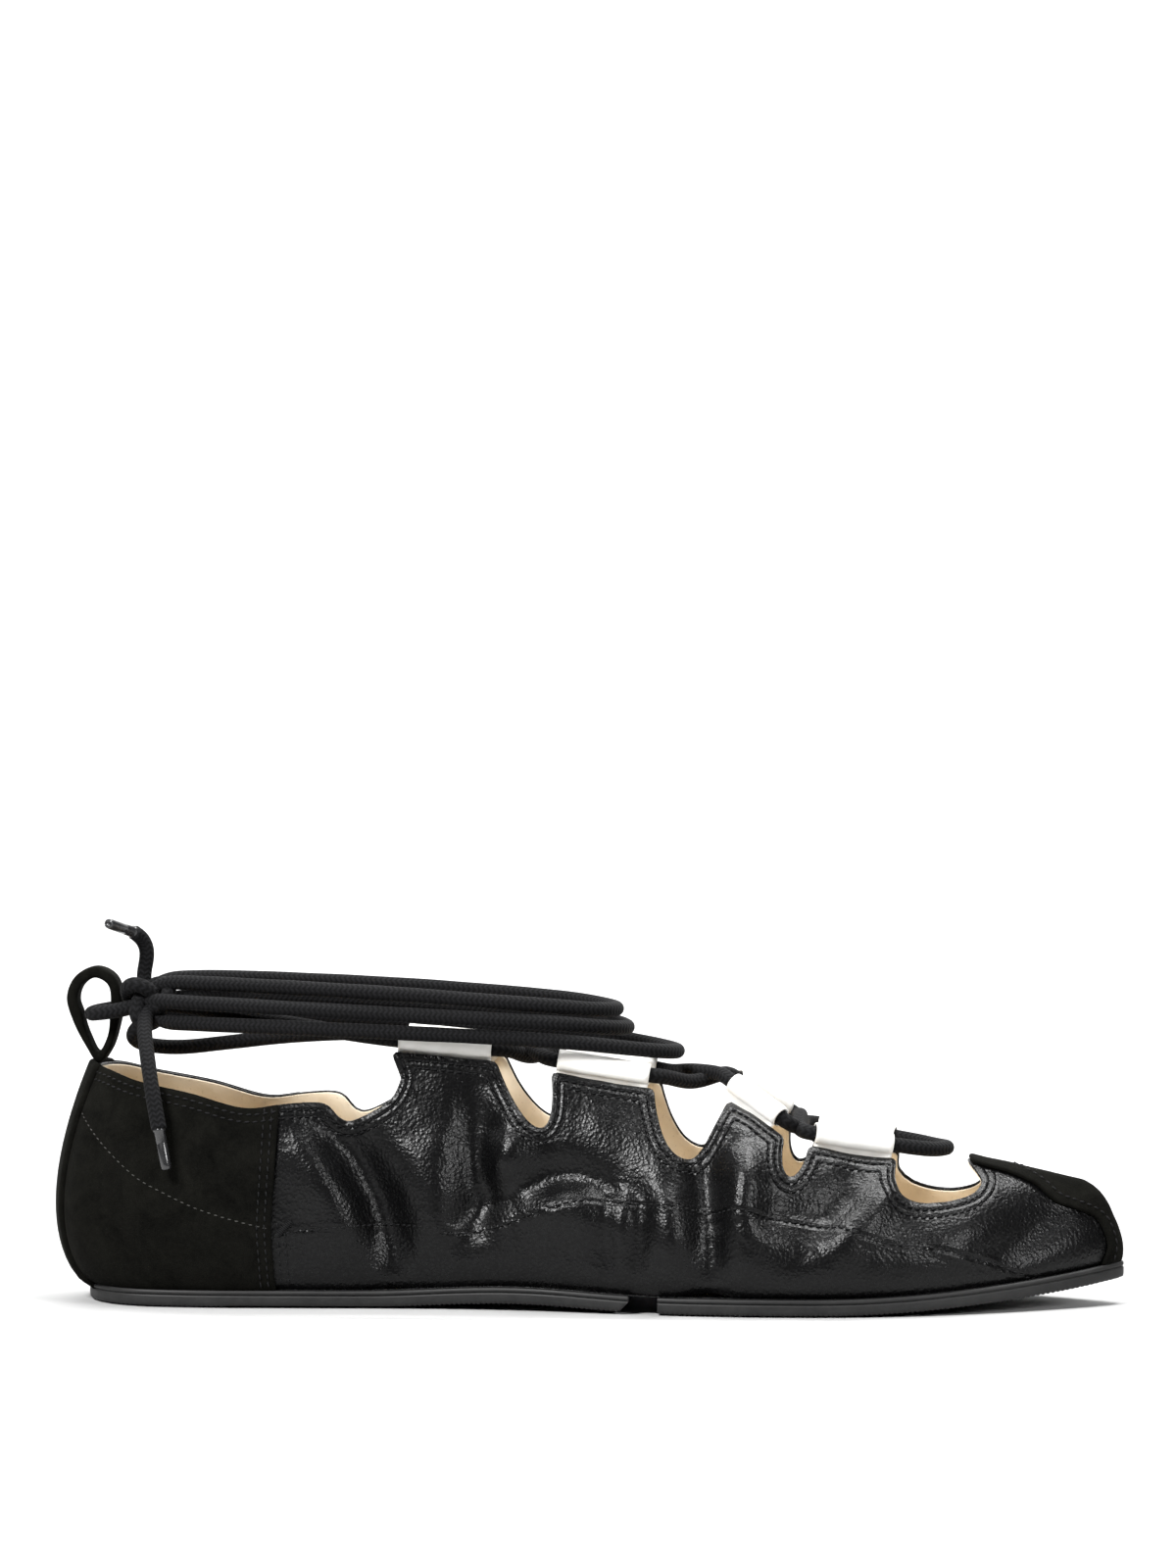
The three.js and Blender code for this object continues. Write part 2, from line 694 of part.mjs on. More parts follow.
const END_UP = [
  [14.1, -3.8, 82.8], [15.2, -3.6, 86.6], [15, -3.7, 89.8], [13.6, -4.6, 92.2], [12.2, -6.6, 93.2],
];
const END_DOWN = [
  [15.5, -9.8, 72], [15.8, -13.5, 69.5], [16.8, -18, 65.5], [18, -22, 61],
  [19.2, -25.2, 56], [20.4, -27.2, 50.5], [21.6, -28.3, 45],
];
const AGLET_UP = [[11.8, -7.1, 93.4], [6.9, -15.2, 95.9]];
const AGLET_DOWN = [[21.7, -28.4, 44.6], [23.7, -29.6, 34.9]];

const FREE_LACE = [
  'lace_strand_outer', 'lace_strand_inner', 'lace_wrap_1', 'lace_wrap_2', 'lace_wrap_3',
  'lace_knot', 'lace_end_up', 'lace_end_down', 'aglet_up', 'aglet_down',
];

function route(rows) {
  return rows.map(([x, y, z]) => new THREE.Vector3(x, y, z));
}

function knotSolid() {
  const ball = new THREE.SphereGeometry(knotRadius, 12, 8);
  ball.translate(knotCentre.x, knotCentre.y, knotCentre.z);
  return solidOf(ball).add(cordSolid(route(KNOT_TURN), 14));
}

function agletSolid(rows) {
  const [from, to] = route(rows);
  const way = to.clone().sub(from).normalize();
  const geometry = new THREE.CylinderGeometry(agletDiameter / 2, agletDiameter / 2, agletLength, cordSides);
  geometry.translate(0, agletLength / 2, 0);
  geometry.applyQuaternion(new THREE.Quaternion().setFromUnitVectors(new THREE.Vector3(0, 1, 0), way));
  geometry.translate(from.x, from.y, from.z);
  return solidOf(geometry);
}

// A strand starts just behind the mouth of its tunnel
function strandFrom(tunnel, rows, steps) {
  const mouth = tunnel.back.clone().addScaledVector(tunnel.way, laceSeat);
  return cordSolid([mouth, tunnel.back, ...route(rows)], steps);
}

const firstTab = { outer: tunnels.outer[0], inner: tunnels.inner[0] };
addSolid('lace_strand_outer', strandFrom(firstTab.outer, STRAND_OUTER, 8), colours.lace);
addSolid('lace_strand_inner', strandFrom(firstTab.inner, STRAND_INNER, 14), colours.lace);
addSolid('lace_wrap_1', cordSolid(route(WRAP_1), 24), colours.lace);
addSolid('lace_wrap_2', cordSolid(route(WRAP_2), 24), colours.lace);
addSolid('lace_wrap_3', cordSolid(route(WRAP_3), 26), colours.lace);
addSolid('lace_knot', knotSolid(), colours.lace);
addSolid('lace_end_up', cordSolid(route(END_UP), 6), colours.lace);
addSolid('lace_end_down', cordSolid(route(END_DOWN), 7), colours.lace);
addSolid('aglet_up', agletSolid(AGLET_UP), colours.tip);
addSolid('aglet_down', agletSolid(AGLET_DOWN), colours.tip);

// The part stands with the middle of its underside at the origin, the free lace not counted
const box = new THREE.Box3();
for (const mesh of shoe.children) {
  if (!FREE_LACE.includes(mesh.name)) box.expandByObject(mesh);
}
const middle = box.getCenter(new THREE.Vector3());
const part = new THREE.Group();
shoe.position.set(-middle.x, -middle.y, -box.min.z);
part.add(shoe);

export default part;
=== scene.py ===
# Lace-up ballerina flat, right shoe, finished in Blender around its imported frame.
# Sizes of the shoe are in millimetres: x from the back of the sole, y to the inner side, z up.
import math

import bpy
import numpy as np
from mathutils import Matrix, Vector, noise
from mathutils.geometry import delaunay_2d_cdt
from mathutils.kdtree import KDTree


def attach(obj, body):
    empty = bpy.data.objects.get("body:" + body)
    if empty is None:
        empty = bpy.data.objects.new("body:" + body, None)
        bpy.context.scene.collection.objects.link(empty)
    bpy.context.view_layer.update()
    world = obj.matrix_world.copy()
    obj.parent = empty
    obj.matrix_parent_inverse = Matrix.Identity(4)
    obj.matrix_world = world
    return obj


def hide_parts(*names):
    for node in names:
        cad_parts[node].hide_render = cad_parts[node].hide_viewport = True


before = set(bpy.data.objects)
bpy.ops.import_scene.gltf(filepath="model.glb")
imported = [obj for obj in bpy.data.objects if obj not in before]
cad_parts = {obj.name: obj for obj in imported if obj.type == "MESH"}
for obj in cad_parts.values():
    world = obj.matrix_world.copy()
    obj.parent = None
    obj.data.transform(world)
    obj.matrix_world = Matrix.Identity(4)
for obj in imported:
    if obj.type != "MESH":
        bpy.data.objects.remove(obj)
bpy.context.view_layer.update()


# Studio
# A pale seamless sweep of painted board stands under and behind the shoe. A long lens looks at
# the outer side, a little from the toe and from just above the floor, as in the photograph.
azimuth = math.radians(4.5)
elevation = math.radians(4.5)
camera_distance = 1.66
lens = 150
shoe_height = 0.048
aim_height = 0.131
floor_drop = 0.0002
sweep_depth = 1.6
sweep_rise = 2.6
sweep_width = 7.0
sweep_radius = 0.9
floor_front = 0.56
air_glow = 0.05
PAPER = (0.4, 0.4, 0.398, 1)
PAPER_SHADE = (0.38, 0.38, 0.38, 1)


def aim(thing, target):
    way = Vector(target) - thing.location
    thing.rotation_euler = way.to_track_quat("-Z", "Y").to_euler()


def add_camera():
    data = bpy.data.cameras.new("photo_lens")
    data.lens = lens
    data.clip_end = 20
    camera = bpy.data.objects.new("photo_camera", data)
    bpy.context.collection.objects.link(camera)
    level = camera_distance * math.cos(elevation)
    height = shoe_height + camera_distance * math.sin(elevation)
    camera.location = (level * math.sin(azimuth), -level * math.cos(azimuth), height)
    aim(camera, (0, 0, aim_height))
    bpy.context.scene.camera = camera


def add_mesh(name, points, faces, materials, smooth=True):
    mesh = bpy.data.meshes.new(name)
    mesh.from_pydata([tuple(p) for p in points], [], [tuple(int(i) for i in f) for f in faces])
    for material in materials:
        mesh.materials.append(material)
    mesh.polygons.foreach_set("use_smooth", [smooth] * len(mesh.polygons))
    piece = bpy.data.objects.new(name, mesh)
    bpy.context.collection.objects.link(piece)
    return piece


class Level:
    """A value or colour in a material. Arithmetic on it adds Math nodes."""

    def __init__(self, finish, socket):
        self.finish = finish
        self.socket = socket

    def maths(self, operation, first, second=0.0):
        settings = {"operation": operation}
        return self.finish.node("ShaderNodeMath", settings, {0: first, 1: second})

    def __add__(self, other):
        return self.maths("ADD", self, other)

    def __sub__(self, other):
        return self.maths("SUBTRACT", self, other)

    def __rsub__(self, other):
        return self.maths("SUBTRACT", other, self)

    def __mul__(self, other):
        return self.maths("MULTIPLY", self, other)

    def __pow__(self, other):
        return self.maths("POWER", self, other)

    def __mod__(self, other):
        return self.maths("FLOORED_MODULO", self, other)

    def sine(self):
        return self.maths("SINE", self)

    def size(self):
        return self.maths("ABSOLUTE", self)

    __radd__ = __add__
    __rmul__ = __mul__


class Finish:
    """A material whose nodes all come from one method."""

    def __init__(self, name, constants):
        self.material = bpy.data.materials.new(name)
        self.material.use_nodes = True
        self.tree = self.material.node_tree
        self.shader = self.tree.nodes["Principled BSDF"]
        self.feed(self.shader, constants)

    def feed(self, node, values):
        for name, value in values.items():
            if isinstance(value, Level):
                self.tree.links.new(value.socket, node.inputs[name])
            else:
                node.inputs[name].default_value = value

    def node(self, kind, settings=None, values=None, output=0):
        made = self.tree.nodes.new(kind)
        for name, value in (settings or {}).items():
            if name == "stops":
                self.set_stops(made.color_ramp, value)
            else:
                setattr(made, name, value)
        self.feed(made, values or {})
        return Level(self, made.outputs[output])

    def set_stops(self, ramp, stops):
        while len(ramp.elements) < len(stops):
            ramp.elements.new(0.5)
        for element, (position, colour) in zip(ramp.elements, stops):
            element.position = position
            element.color = colour

    def place(self):
        return self.node("ShaderNodeTexCoord", output="Object")

    def noise(self, place, grain_mm, detail=2.0, roughness=0.5, distortion=0.0):
        values = {
            "Vector": place,
            "Scale": 1000 / grain_mm,
            "Detail": detail,
            "Roughness": roughness,
            "Distortion": distortion,
        }
        return self.node("ShaderNodeTexNoise", None, values)

    def ramp(self, level, low, high):
        stops = [(low, (0, 0, 0, 1)), (high, (1, 1, 1, 1))]
        return self.node("ShaderNodeValToRGB", {"stops": stops}, {"Fac": level})

    def mix(self, level, low, high):
        return self.node("ShaderNodeMix", {"data_type": "RGBA"}, {0: level, 6: low, 7: high}, 2)

    def bump(self, height, distance_mm, strength=1.0, over=None):
        values = {"Height": height, "Distance": distance_mm / 1000, "Strength": strength}
        if over is not None:
            values["Normal"] = over
        return self.node("ShaderNodeBump", None, values)


def sweep_profile():
    bend = np.linspace(0, math.pi / 2, 17)
    curve = [(sweep_depth + sweep_radius * math.sin(a), sweep_radius * (1 - math.cos(a))) for a in bend]
    return [(-floor_front, 0.0), *curve, (curve[-1][0], sweep_rise)]


def add_sweep():
    points = []
    for y, z in sweep_profile():
        points.append((-sweep_width / 2, y, z - floor_drop))
        points.append((sweep_width / 2, y, z - floor_drop))
    rows = len(points) // 2 - 1
    faces = [(2 * i, 2 * i + 1, 2 * i + 3, 2 * i + 2) for i in range(rows)]
    paper = Finish("studio_paper", {"Roughness": 0.75})
    tone = paper.noise(paper.place(), 90, 3)
    pale = paper.mix(tone, PAPER, PAPER_SHADE)
    paper.feed(paper.shader, {"Base Color": pale})
    sweep = add_mesh("studio_sweep", points, faces, [paper.material])


def add_softbox(name, at, size, power, target=(0, 0, 0.03)):
    data = bpy.data.lights.new(name, "AREA")
    data.shape = "RECTANGLE"
    data.size = size[0]
    data.size_y = size[1]
    data.energy = power
    light = bpy.data.objects.new(name, data)
    bpy.context.collection.objects.link(light)
    light.location = at
    aim(light, target)


def add_world():
    world = bpy.data.worlds.new("studio_air")
    world.use_nodes = True
    back = world.node_tree.nodes["Background"]
    back.inputs["Color"].default_value = (1, 1, 1, 1)
    back.inputs["Strength"].default_value = air_glow
    bpy.context.scene.world = world


bpy.context.scene.view_settings.view_transform = "Standard"
add_camera()
add_sweep()
add_world()
add_softbox("softbox_over_heel", (-0.62, -0.72, 0.9), (0.36, 0.34), 29)
add_softbox("softbox_over_toe", (0.3, -0.05, 1.15), (0.6, 0.32), 11)
add_softbox("softbox_beyond_toe", (0.95, -0.75, 0.6), (0.24, 0.4), 9)
add_softbox("softbox_backdrop", (0, 0.7, 2.0), (2.4, 0.6), 215, (0, 2.5, 0.6))


# Free lace
# One round braided cotton lace, 3.8 mm thick. From the first loops it runs back through the pull
# loop, three times round behind and over the throat, and is knotted at the heel.
lace_diameter = 3.8
lace_sides = 18
lace_step = 0.55
squash_limit = 0.8
braid_columns = 12
braid_rate = 9.0
braid_slope = 0.55
strand_seat = 10.0
MIDDLE = (127.3586, -0.4954)
LACE_DARK = (0.001, 0.001, 0.0012, 1)
LACE_LIGHT = (0.0085, 0.0085, 0.0095, 1)
TUNNELS = {
    "outer": [
        ((80.69, -13.02, 66.55), (104.19, -13.63, 64.57)),
        ((120.92, -14.86, 61.79), (143.95, -14.19, 58.20)),
        ((164.86, -8.56, 55.82), (177.04, -15.88, 47.78)),
        ((185.58, -16.18, 43.92), (204.73, -11.34, 40.92)),
    ],
    "inner": [
        ((80.69, 9.28, 66.55), (104.19, 8.37, 64.57)),
        ((120.91, 9.42, 61.79), (143.94, 10.07, 58.20)),
        ((164.85, 6.48, 55.95), (177.07, 14.75, 47.88)),
        ((185.60, 15.71, 43.86), (204.72, 12.53, 40.87)),
    ],
}
STRAND_OUTER = [
    (70, -14.3, 68), (55, -14, 70.4), (40, -11.5, 72.3), (29, -7.8, 74), (21.9, -5.2, 74.7),
]
STRAND_INNER = [
    (68, 10.5, 66.8), (50, 10.5, 66), (34, 8.6, 64.3), (22, 6.2, 63.2), (14.2, 2.8, 64),
    (11.2, -2, 66), (12.4, -5.8, 68.6), (15.4, -6.6, 71),
]
WRAP_1 = [
    (16.8, -5.4, 78.6), (20.6, -7.3, 80.4), (30, -11.5, 80.6), (55, -16.5, 79.8), (80, -19.3, 78.6),
    (103, -19.8, 77),
    (120, -17, 75.6), (130.5, -10.5, 74.4), (134.8, -0.5, 74), (131, 9.5, 74.4), (121, 15.8, 75.6),
    (103, 18.8, 77), (80, 18.3, 78.6), (55, 15, 80), (35, 8.5, 81), (25.5, 2, 81.3), (20, -1.6, 80.9),
    (15.8, -3.6, 78.6),
]
WRAP_2 = [
    (15.8, -7.2, 76), (20, -10.2, 76), (28, -14, 75.8), (50, -18.5, 75), (80, -21, 73.6),
    (103, -21.3, 72.5),
    (122, -18.5, 71.3), (133, -11.5, 70), (137.5, -0.5, 69.3), (133.5, 10.5, 70), (123, 16.8, 71.3),
    (103, 20, 72.6), (80, 19.8, 74), (50, 15, 75.8), (32, 9, 76.6), (24.5, 2.5, 76.4), (21, 0.3, 76),
    (16.5, -2.4, 76),
]
WRAP_3 = [
    (16, -6, 73.2), (19.6, -7.9, 70.8), (27, -12.5, 70.5), (45, -18, 70.2), (80, -20.4, 69),
    (103, -20.3, 68),
    (125, -18.8, 66.6), (140, -14, 64.8), (148, -6, 63.6), (150.3, 1, 63.3), (147.5, 7.5, 63.7),
    (139, 14, 64.9), (125, 18.6, 66.6), (103, 19.8, 68), (80, 19, 69.2), (50, 14.5, 71),
    (33, 8.5, 71.5), (24.5, 2, 71.3), (19.3, -0.7, 70.7), (15.6, -3.2, 73.4),
]
END_UP = [
    (14.1, -3.8, 82.8), (15.2, -3.6, 86.6), (15, -3.7, 89.8), (13.6, -4.6, 92.2), (12.2, -6.6, 93.2),
]
END_DOWN = [
    (15.5, -9.8, 72), (15.8, -13.5, 69.5), (16.8, -18, 65.5), (18, -22, 61),
    (19.2, -25.2, 56), (20.4, -27.2, 50.5), (21.6, -28.3, 45),
]


def in_frame(points):
    """The shoe's own millimetres as metres in the shared frame."""
    points = np.asarray(points, float)
    return (points - (*MIDDLE, 0)) / 1000


def smooth_line(points, shares, closed=False):
    """A centripetal curve through the points, at shares from 0 to 1 of it."""
    points = np.asarray(points, float)
    count = len(points)
    if closed:
        chain = points[np.arange(-1, count + 2) % count]
        spans = count
    else:
        chain = np.vstack([2 * points[0] - points[1], points, 2 * points[-1] - points[-2]])
        spans = count - 1
    place = np.asarray(shares, float) * spans
    first = np.clip(np.floor(place).astype(int), 0, spans - 1)
    part = (place - first)[:, None]
    before, start, end, after = (chain[first + k] for k in range(4))
    gap_a, gap_b, gap_c = (
        np.maximum(np.sum((q - p) ** 2, axis=1, keepdims=True), 1e-12) ** 0.25
        for p, q in ((before, start), (start, end), (end, after))
    )
    leave = ((start - before) / gap_a - (end - before) / (gap_a + gap_b) + (end - start) / gap_b) * gap_b
    arrive = ((end - start) / gap_b - (after - start) / (gap_b + gap_c) + (after - end) / gap_c) * gap_b
    square = -3 * start + 3 * end - 2 * leave - arrive
    cube = 2 * start - 2 * end + leave + arrive
    return start + part * leave + part**2 * square + part**3 * cube


def even_line(line, step):
    """The same line with points a step apart."""
    along = np.r_[0, np.cumsum(np.linalg.norm(np.diff(line, axis=0), axis=1))]
    marks = np.linspace(0, along[-1], max(4, round(along[-1] / step)) + 1)
    return np.column_stack([np.interp(marks, along, line[:, k]) for k in range(line.shape[1])])


def cord_line(rows, closed=False):
    line = even_line(smooth_line(rows, np.linspace(0, 1, 60 * len(rows)), closed), lace_step)
    return line[:-1] if closed else line


def eased(line, reach=4):
    """The line with its tight bends opened, as a firm cord takes them. Its ends stay."""
    kernel = np.ones(2 * reach + 1) / (2 * reach + 1)
    for _ in range(2):
        padded = np.pad(line, ((reach, reach), (0, 0)), "reflect", reflect_type="odd")
        line = np.column_stack([np.convolve(padded[:, k], kernel, "valid") for k in range(3)])
    return line


def unit(vectors):
    return vectors / np.maximum(np.linalg.norm(vectors, axis=-1, keepdims=True), 1e-12)


def carried(line, closed=False):
    """Tangent, side and up at each point, carried along without twist."""
    if closed:
        tangents = unit(np.roll(line, -1, axis=0) - np.roll(line, 1, axis=0))
    else:
        tangents = unit(np.gradient(line, axis=0))
    side = np.cross(tangents[0], (0, 0, 1))
    if np.linalg.norm(side) < 0.1:
        side = np.cross(tangents[0], (0, 1, 0))
    sides = []
    for tangent in tangents:
        side = side - np.dot(side, tangent) * tangent
        side = side / np.linalg.norm(side)
        sides.append(side)
    sides = np.array(sides)
    return tangents, sides, np.cross(tangents, sides)


def tube_rings(line, radii, sides, closed=False):
    tangents, across, up = carried(line, closed)
    turn = np.linspace(0, 2 * math.pi, sides, endpoint=False)
    spokes = across[:, None] * np.cos(turn)[None, :, None] + up[:, None] * np.sin(turn)[None, :, None]
    spokes = spokes * np.asarray(radii, float)[:, None, None]
    step = np.linalg.norm(line[1] - line[0])
    bend = (np.roll(tangents, -1, axis=0) - np.roll(tangents, 1, axis=0)) / (2 * step)
    if not closed:
        bend[[0, -1]] = 0
    inwards = np.sum(spokes * bend[:, None], axis=2, keepdims=True)
    spokes = spokes * np.minimum(1, squash_limit / np.maximum(inwards, squash_limit))
    return line[:, None] + spokes, tangents


def tube_faces(rings, sides, closed=False):
    faces = []
    for i in range(rings if closed else rings - 1):
        for j in range(sides):
            low, high = i * sides, (i + 1) % rings * sides
            k = (j + 1) % sides
            faces.append((low + j, low + k, high + k, high + j))
    return faces


def add_tube(name, line, radii, sides, material, closed=False, dome=0.5):
    """A closed tube along a line, with u round it and v along it, both in turns of its girth."""
    rings, tangents = tube_rings(line, radii, sides, closed)
    count = len(rings)
    points = list(rings.reshape(-1, 3))
    faces = tube_faces(count, sides, closed)
    if not closed:
        start, end = len(points), len(points) + 1
        points.append(line[0] - tangents[0] * radii[0] * dome)
        points.append(line[-1] + tangents[-1] * radii[-1] * dome)
        last = (count - 1) * sides
        for j in range(sides):
            k = (j + 1) % sides
            faces.append((start, k, j))
            faces.append((end, last + j, last + k))
    tube = add_mesh(name, in_frame(points), faces, [material])
    along = np.r_[0, np.cumsum(np.linalg.norm(np.diff(line, axis=0), axis=1))]
    girth = 2 * math.pi * float(np.median(radii))
    marks = list(along / girth) + [along[-1] / girth]
    uv = tube.data.uv_layers.new(name="along_cord")
    values = []
    for face in faces:
        values.extend(cord_uv(face, count, sides, marks))
    uv.data.foreach_set("uv", values)
    return tube


def cord_uv(face, count, sides, marks):
    """u and v of a face's corners. A face over the seam counts on past the last side."""
    corners = []
    columns = [corner % sides for corner in face if corner < count * sides]
    over_seam = max(columns) - min(columns) > 1
    rows = [corner // sides for corner in face if corner < count * sides]
    over_end = max(rows) - min(rows) > 1
    for corner in face:
        if corner >= count * sides:
            corners += [(columns[0] + 0.5) / sides, marks[rows[0]]]
            continue
        column, row = corner % sides, corner // sides
        if over_seam and column == 0:
            column = sides
        if over_end and row == 0:
            row = count
        corners += [column / sides, marks[row]]
    return corners


def braided_cotton():
    look = {"Roughness": 0.85, "Sheen Weight": 0.02, "Sheen Roughness": 0.5, "Specular IOR Level": 0.12}
    lace = Finish("braided_cotton", look)
    where = lace.node("ShaderNodeUVMap", {"uv_map": "along_cord"})
    split = lace.node("ShaderNodeSeparateXYZ", None, {0: where})
    along = Level(lace, split.socket.node.outputs["Y"])
    chevron = ((split * (braid_columns / 2)) % 1.0 - 0.5).size() * 2
    yarn = ((along * braid_rate + chevron * braid_slope) * (2 * math.pi)).sine() * 0.5 + 0.5
    seam = ((chevron - 0.5).size() * 2) ** 6
    fuzz = lace.noise(lace.place(), 0.5, 3, 0.6)
    height = yarn * 0.75 + fuzz * 0.45 - seam * 0.35
    # Painted highlight and shade: the colour is lighter on the crests of the yarn and darker in the grooves
    # between the braid's columns; the fuzz adds tone at random.
    tone = yarn * 0.6 + fuzz * 0.5 - seam * 0.3
    colour = lace.mix(lace.ramp(tone, 0.25, 1.0), LACE_DARK, LACE_LIGHT)
    lace.feed(lace.shader, {"Base Color": colour, "Normal": lace.bump(height, 0.16, 0.9)})
    return lace.material


lace_cotton = braided_cotton()


def soft_radii(line, seed):
    """A hand-worn lace is not quite even along its length."""
    places = [noise.noise(Vector(p * 0.09 + seed)) for p in line]
    return lace_diameter / 2 * (1 + 0.035 * np.array(places))


def add_lace(name, node, rows, seed, closed=False):
    line = cord_line(rows, closed)
    if not closed:
        line = even_line(eased(line), lace_step)
    piece = add_tube(name, line, soft_radii(line, seed), lace_sides, lace_cotton, closed)
    if node:
        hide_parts(node)
    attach(piece, "root")
    return piece, line


def declare_lace(line):
    in_frame(line[0])
    in_frame(line[::3] if len(line) % 3 == 1 else np.vstack([line[::3], line[-1:]]))


def into_tunnel(side, rows):
    """A strand that starts well inside its tunnel."""
    back, front = (np.array(end) for end in TUNNELS[side][0])
    way = unit(front - back)
    return [tuple(back + way * strand_seat), tuple(back + way * 3), tuple(back), *rows]


# Knot
# The two ends are tied in a tight overhand knot in front of the pull loop, and one turn of the
# lace goes through the loop. Both ends finish in crimped tips of dark glossy plastic.
knot_centre = np.array((15.8, -6.8, 76))
knot_wide = 2.0
knot_deep = 2.8
KNOT_TURN = [
    (13, -8, 74.5), (7, -7.6, 73.2), (1.6, -6.6, 72.5), (0.6, 0, 72.3), (1.6, 6.6, 72.5),
    (7, 7.6, 73.4), (12.5, 3.5, 75.4), (14.5, -1, 76),
]
KNOT_FRONT = (17.2, -5.8, 75.6)
AGLET_UP = [(11.8, -7.1, 93.4), (6.9, -15.2, 95.9)]
AGLET_DOWN = [(21.7, -28.4, 44.6), (23.7, -29.6, 34.9)]
TIP_PROFILE = [
    (-0.6, 1.62), (0.0, 1.66), (0.25, 1.55), (0.5, 1.42), (3.0, 1.4), (3.2, 1.34), (3.5, 1.34),
    (3.7, 1.4), (8.6, 1.36), (9.6, 1.28), (10.0, 1.1), (10.05, 0.8), (9.7, 0.7),
]
tip_sides = 28
TIP_DARK = (0.012, 0.012, 0.013, 1)


def overhand_turns():
    """The closed line of a tight overhand knot, seen from the outer side."""
    turn = np.linspace(0, 2 * math.pi, 40, endpoint=False)
    wide = knot_wide * (np.sin(turn) + 2 * np.sin(2 * turn))
    high = knot_wide * (np.cos(turn) - 2 * np.cos(2 * turn))
    deep = knot_deep * -np.sin(3 * turn)
    return knot_centre + np.column_stack([wide, deep, high])


def glossy_tip():
    tip = Finish("glossy_tip", {"Base Color": TIP_DARK, "Coat Weight": 0.6, "Coat Roughness": 0.08})
    wear = tip.noise(tip.place(), 1.6, 3)
    tip.feed(tip.shader, {"Roughness": wear * 0.25 + 0.16, "Normal": tip.bump(wear, 0.05, 0.4)})
    return tip.material


tip_plastic = glossy_tip()


def add_aglet(name, node, rows):
    start, end = (np.array(p, float) for p in rows)
    way = unit(end - start)
    line = np.array([start + way * along for along, _ in TIP_PROFILE])
    across = unit(np.cross(way, (0, 0, 1)))
    up = np.cross(way, across)
    turn = np.linspace(0, 2 * math.pi, tip_sides, endpoint=False)
    points = []
    for centre, (_, radius) in zip(line, TIP_PROFILE):
        points += [centre + radius * (across * math.cos(a) + up * math.sin(a)) for a in turn]
    faces = tube_faces(len(line), tip_sides)
    first, last = len(points), len(points) + 1
    points += [line[0] - way * 0.1, line[-1]]
    tail = (len(line) - 1) * tip_sides
    for j in range(tip_sides):
        k = (j + 1) % tip_sides
        faces.append((first, k, j))
        faces.append((last, tail + j, tail + k))
    aglet = add_mesh(name, in_frame(points), faces, [tip_plastic])
    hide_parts(node)
    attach(aglet, "root")
    return aglet


knot, _ = add_lace("knot_turns", "lace_knot", overhand_turns(), 3.1, closed=True)
loop_turn, _ = add_lace("knot_turn_through_loop", None, KNOT_TURN, 4.2)
aglet_up = add_aglet("lace_tip_up", "aglet_up", AGLET_UP)
aglet_down = add_aglet("lace_tip_down", "aglet_down", AGLET_DOWN)
end_up, _ = add_lace("lace_up", "lace_end_up", [(14.6, -4.4, 79), *END_UP], 5.3)
strand_near, near_line = add_lace(
    "lace_near_strand", "lace_strand_outer", [*into_tunnel("outer", STRAND_OUTER), KNOT_FRONT], 6.4
)
strand_far, far_line = add_lace(
    "lace_far_strand", "lace_strand_inner", into_tunnel("inner", STRAND_INNER), 7.5
)
end_down, down_line = add_lace("lace_down", "lace_end_down", [(15.4, -6.6, 74), *END_DOWN], 8.6)
declare_lace(near_line)
declare_lace(far_line)
declare_lace(down_line)
for number, rows in enumerate((WRAP_1, WRAP_2, WRAP_3), 1):
    wrap, line = add_lace(f"lace_turn_{number}", f"lace_wrap_{number}", rows, 9.7 + number)
    declare_lace(line)


# Lace over the throat
# The same lace crosses over the throat from tab to tab, and the front bar closes the row. Inside
# each pale loop the runs meet end to end.
crossing_lift = 1.3
lace_straight = 1.0
lace_bend = 2.7
bar_run = 6.0
bar_reach = 11.0
bar_turn = 3.0
bar_nose = 3.3


def strand_rows(mouth, far_mouth, lift):
    """From inside one tunnel, round, over the throat and into another."""
    start, start_way, start_seat = mouth
    end, end_way, end_seat = far_mouth
    across = np.array((0, np.sign(end[1] - start[1]), 0))
    centre = (start + end) / 2 + np.array((0, 0, lift))
    bend = lace_straight + lace_bend
    return [
        start - start_way * start_seat,
        start - start_way * start_seat / 2,
        start - start_way * lace_straight,
        start + start_way * lace_straight,
        start + start_way * bend + across * lace_bend,
        centre,
        end + end_way * bend - across * lace_bend,
        end + end_way * lace_straight,
        end - end_way * lace_straight,
        end - end_way * end_seat / 2,
        end - end_way * end_seat,
    ]


def tunnel_mouth(side, number, end):
    """Mouth of a tunnel, the way out of it and half its length."""
    back, front = (np.array(p) for p in TUNNELS[side][number])
    way = unit(front - back)
    half = np.linalg.norm(front - back) / 2 - 0.5
    return (front, way, half) if end == "front" else (back, -way, half)


def join_meshes(name, parts):
    """One mesh out of several closed ones, with their own maps kept."""
    with bpy.context.temp_override(active_object=parts[0], selected_editable_objects=parts):
        bpy.ops.object.join()
    parts[0].name = name
    return parts[0]


def add_strand(name, rows, seed):
    line = even_line(eased(cord_line(rows)), lace_step)
    return add_tube(name, line, soft_radii(line, seed), lace_sides, lace_cotton)


def bar_side(mouth, inwards):
    """Half of the front bar, from inside its loop to where it turns over the opening."""
    start, way, seat = mouth
    reaches = [(-seat, 0), (-lace_straight, 0), (lace_straight, 0), (bar_run, 0), (bar_reach, bar_turn)]
    return [start + way * reach + np.array((0, inwards * aside, 0)) for reach, aside in reaches]


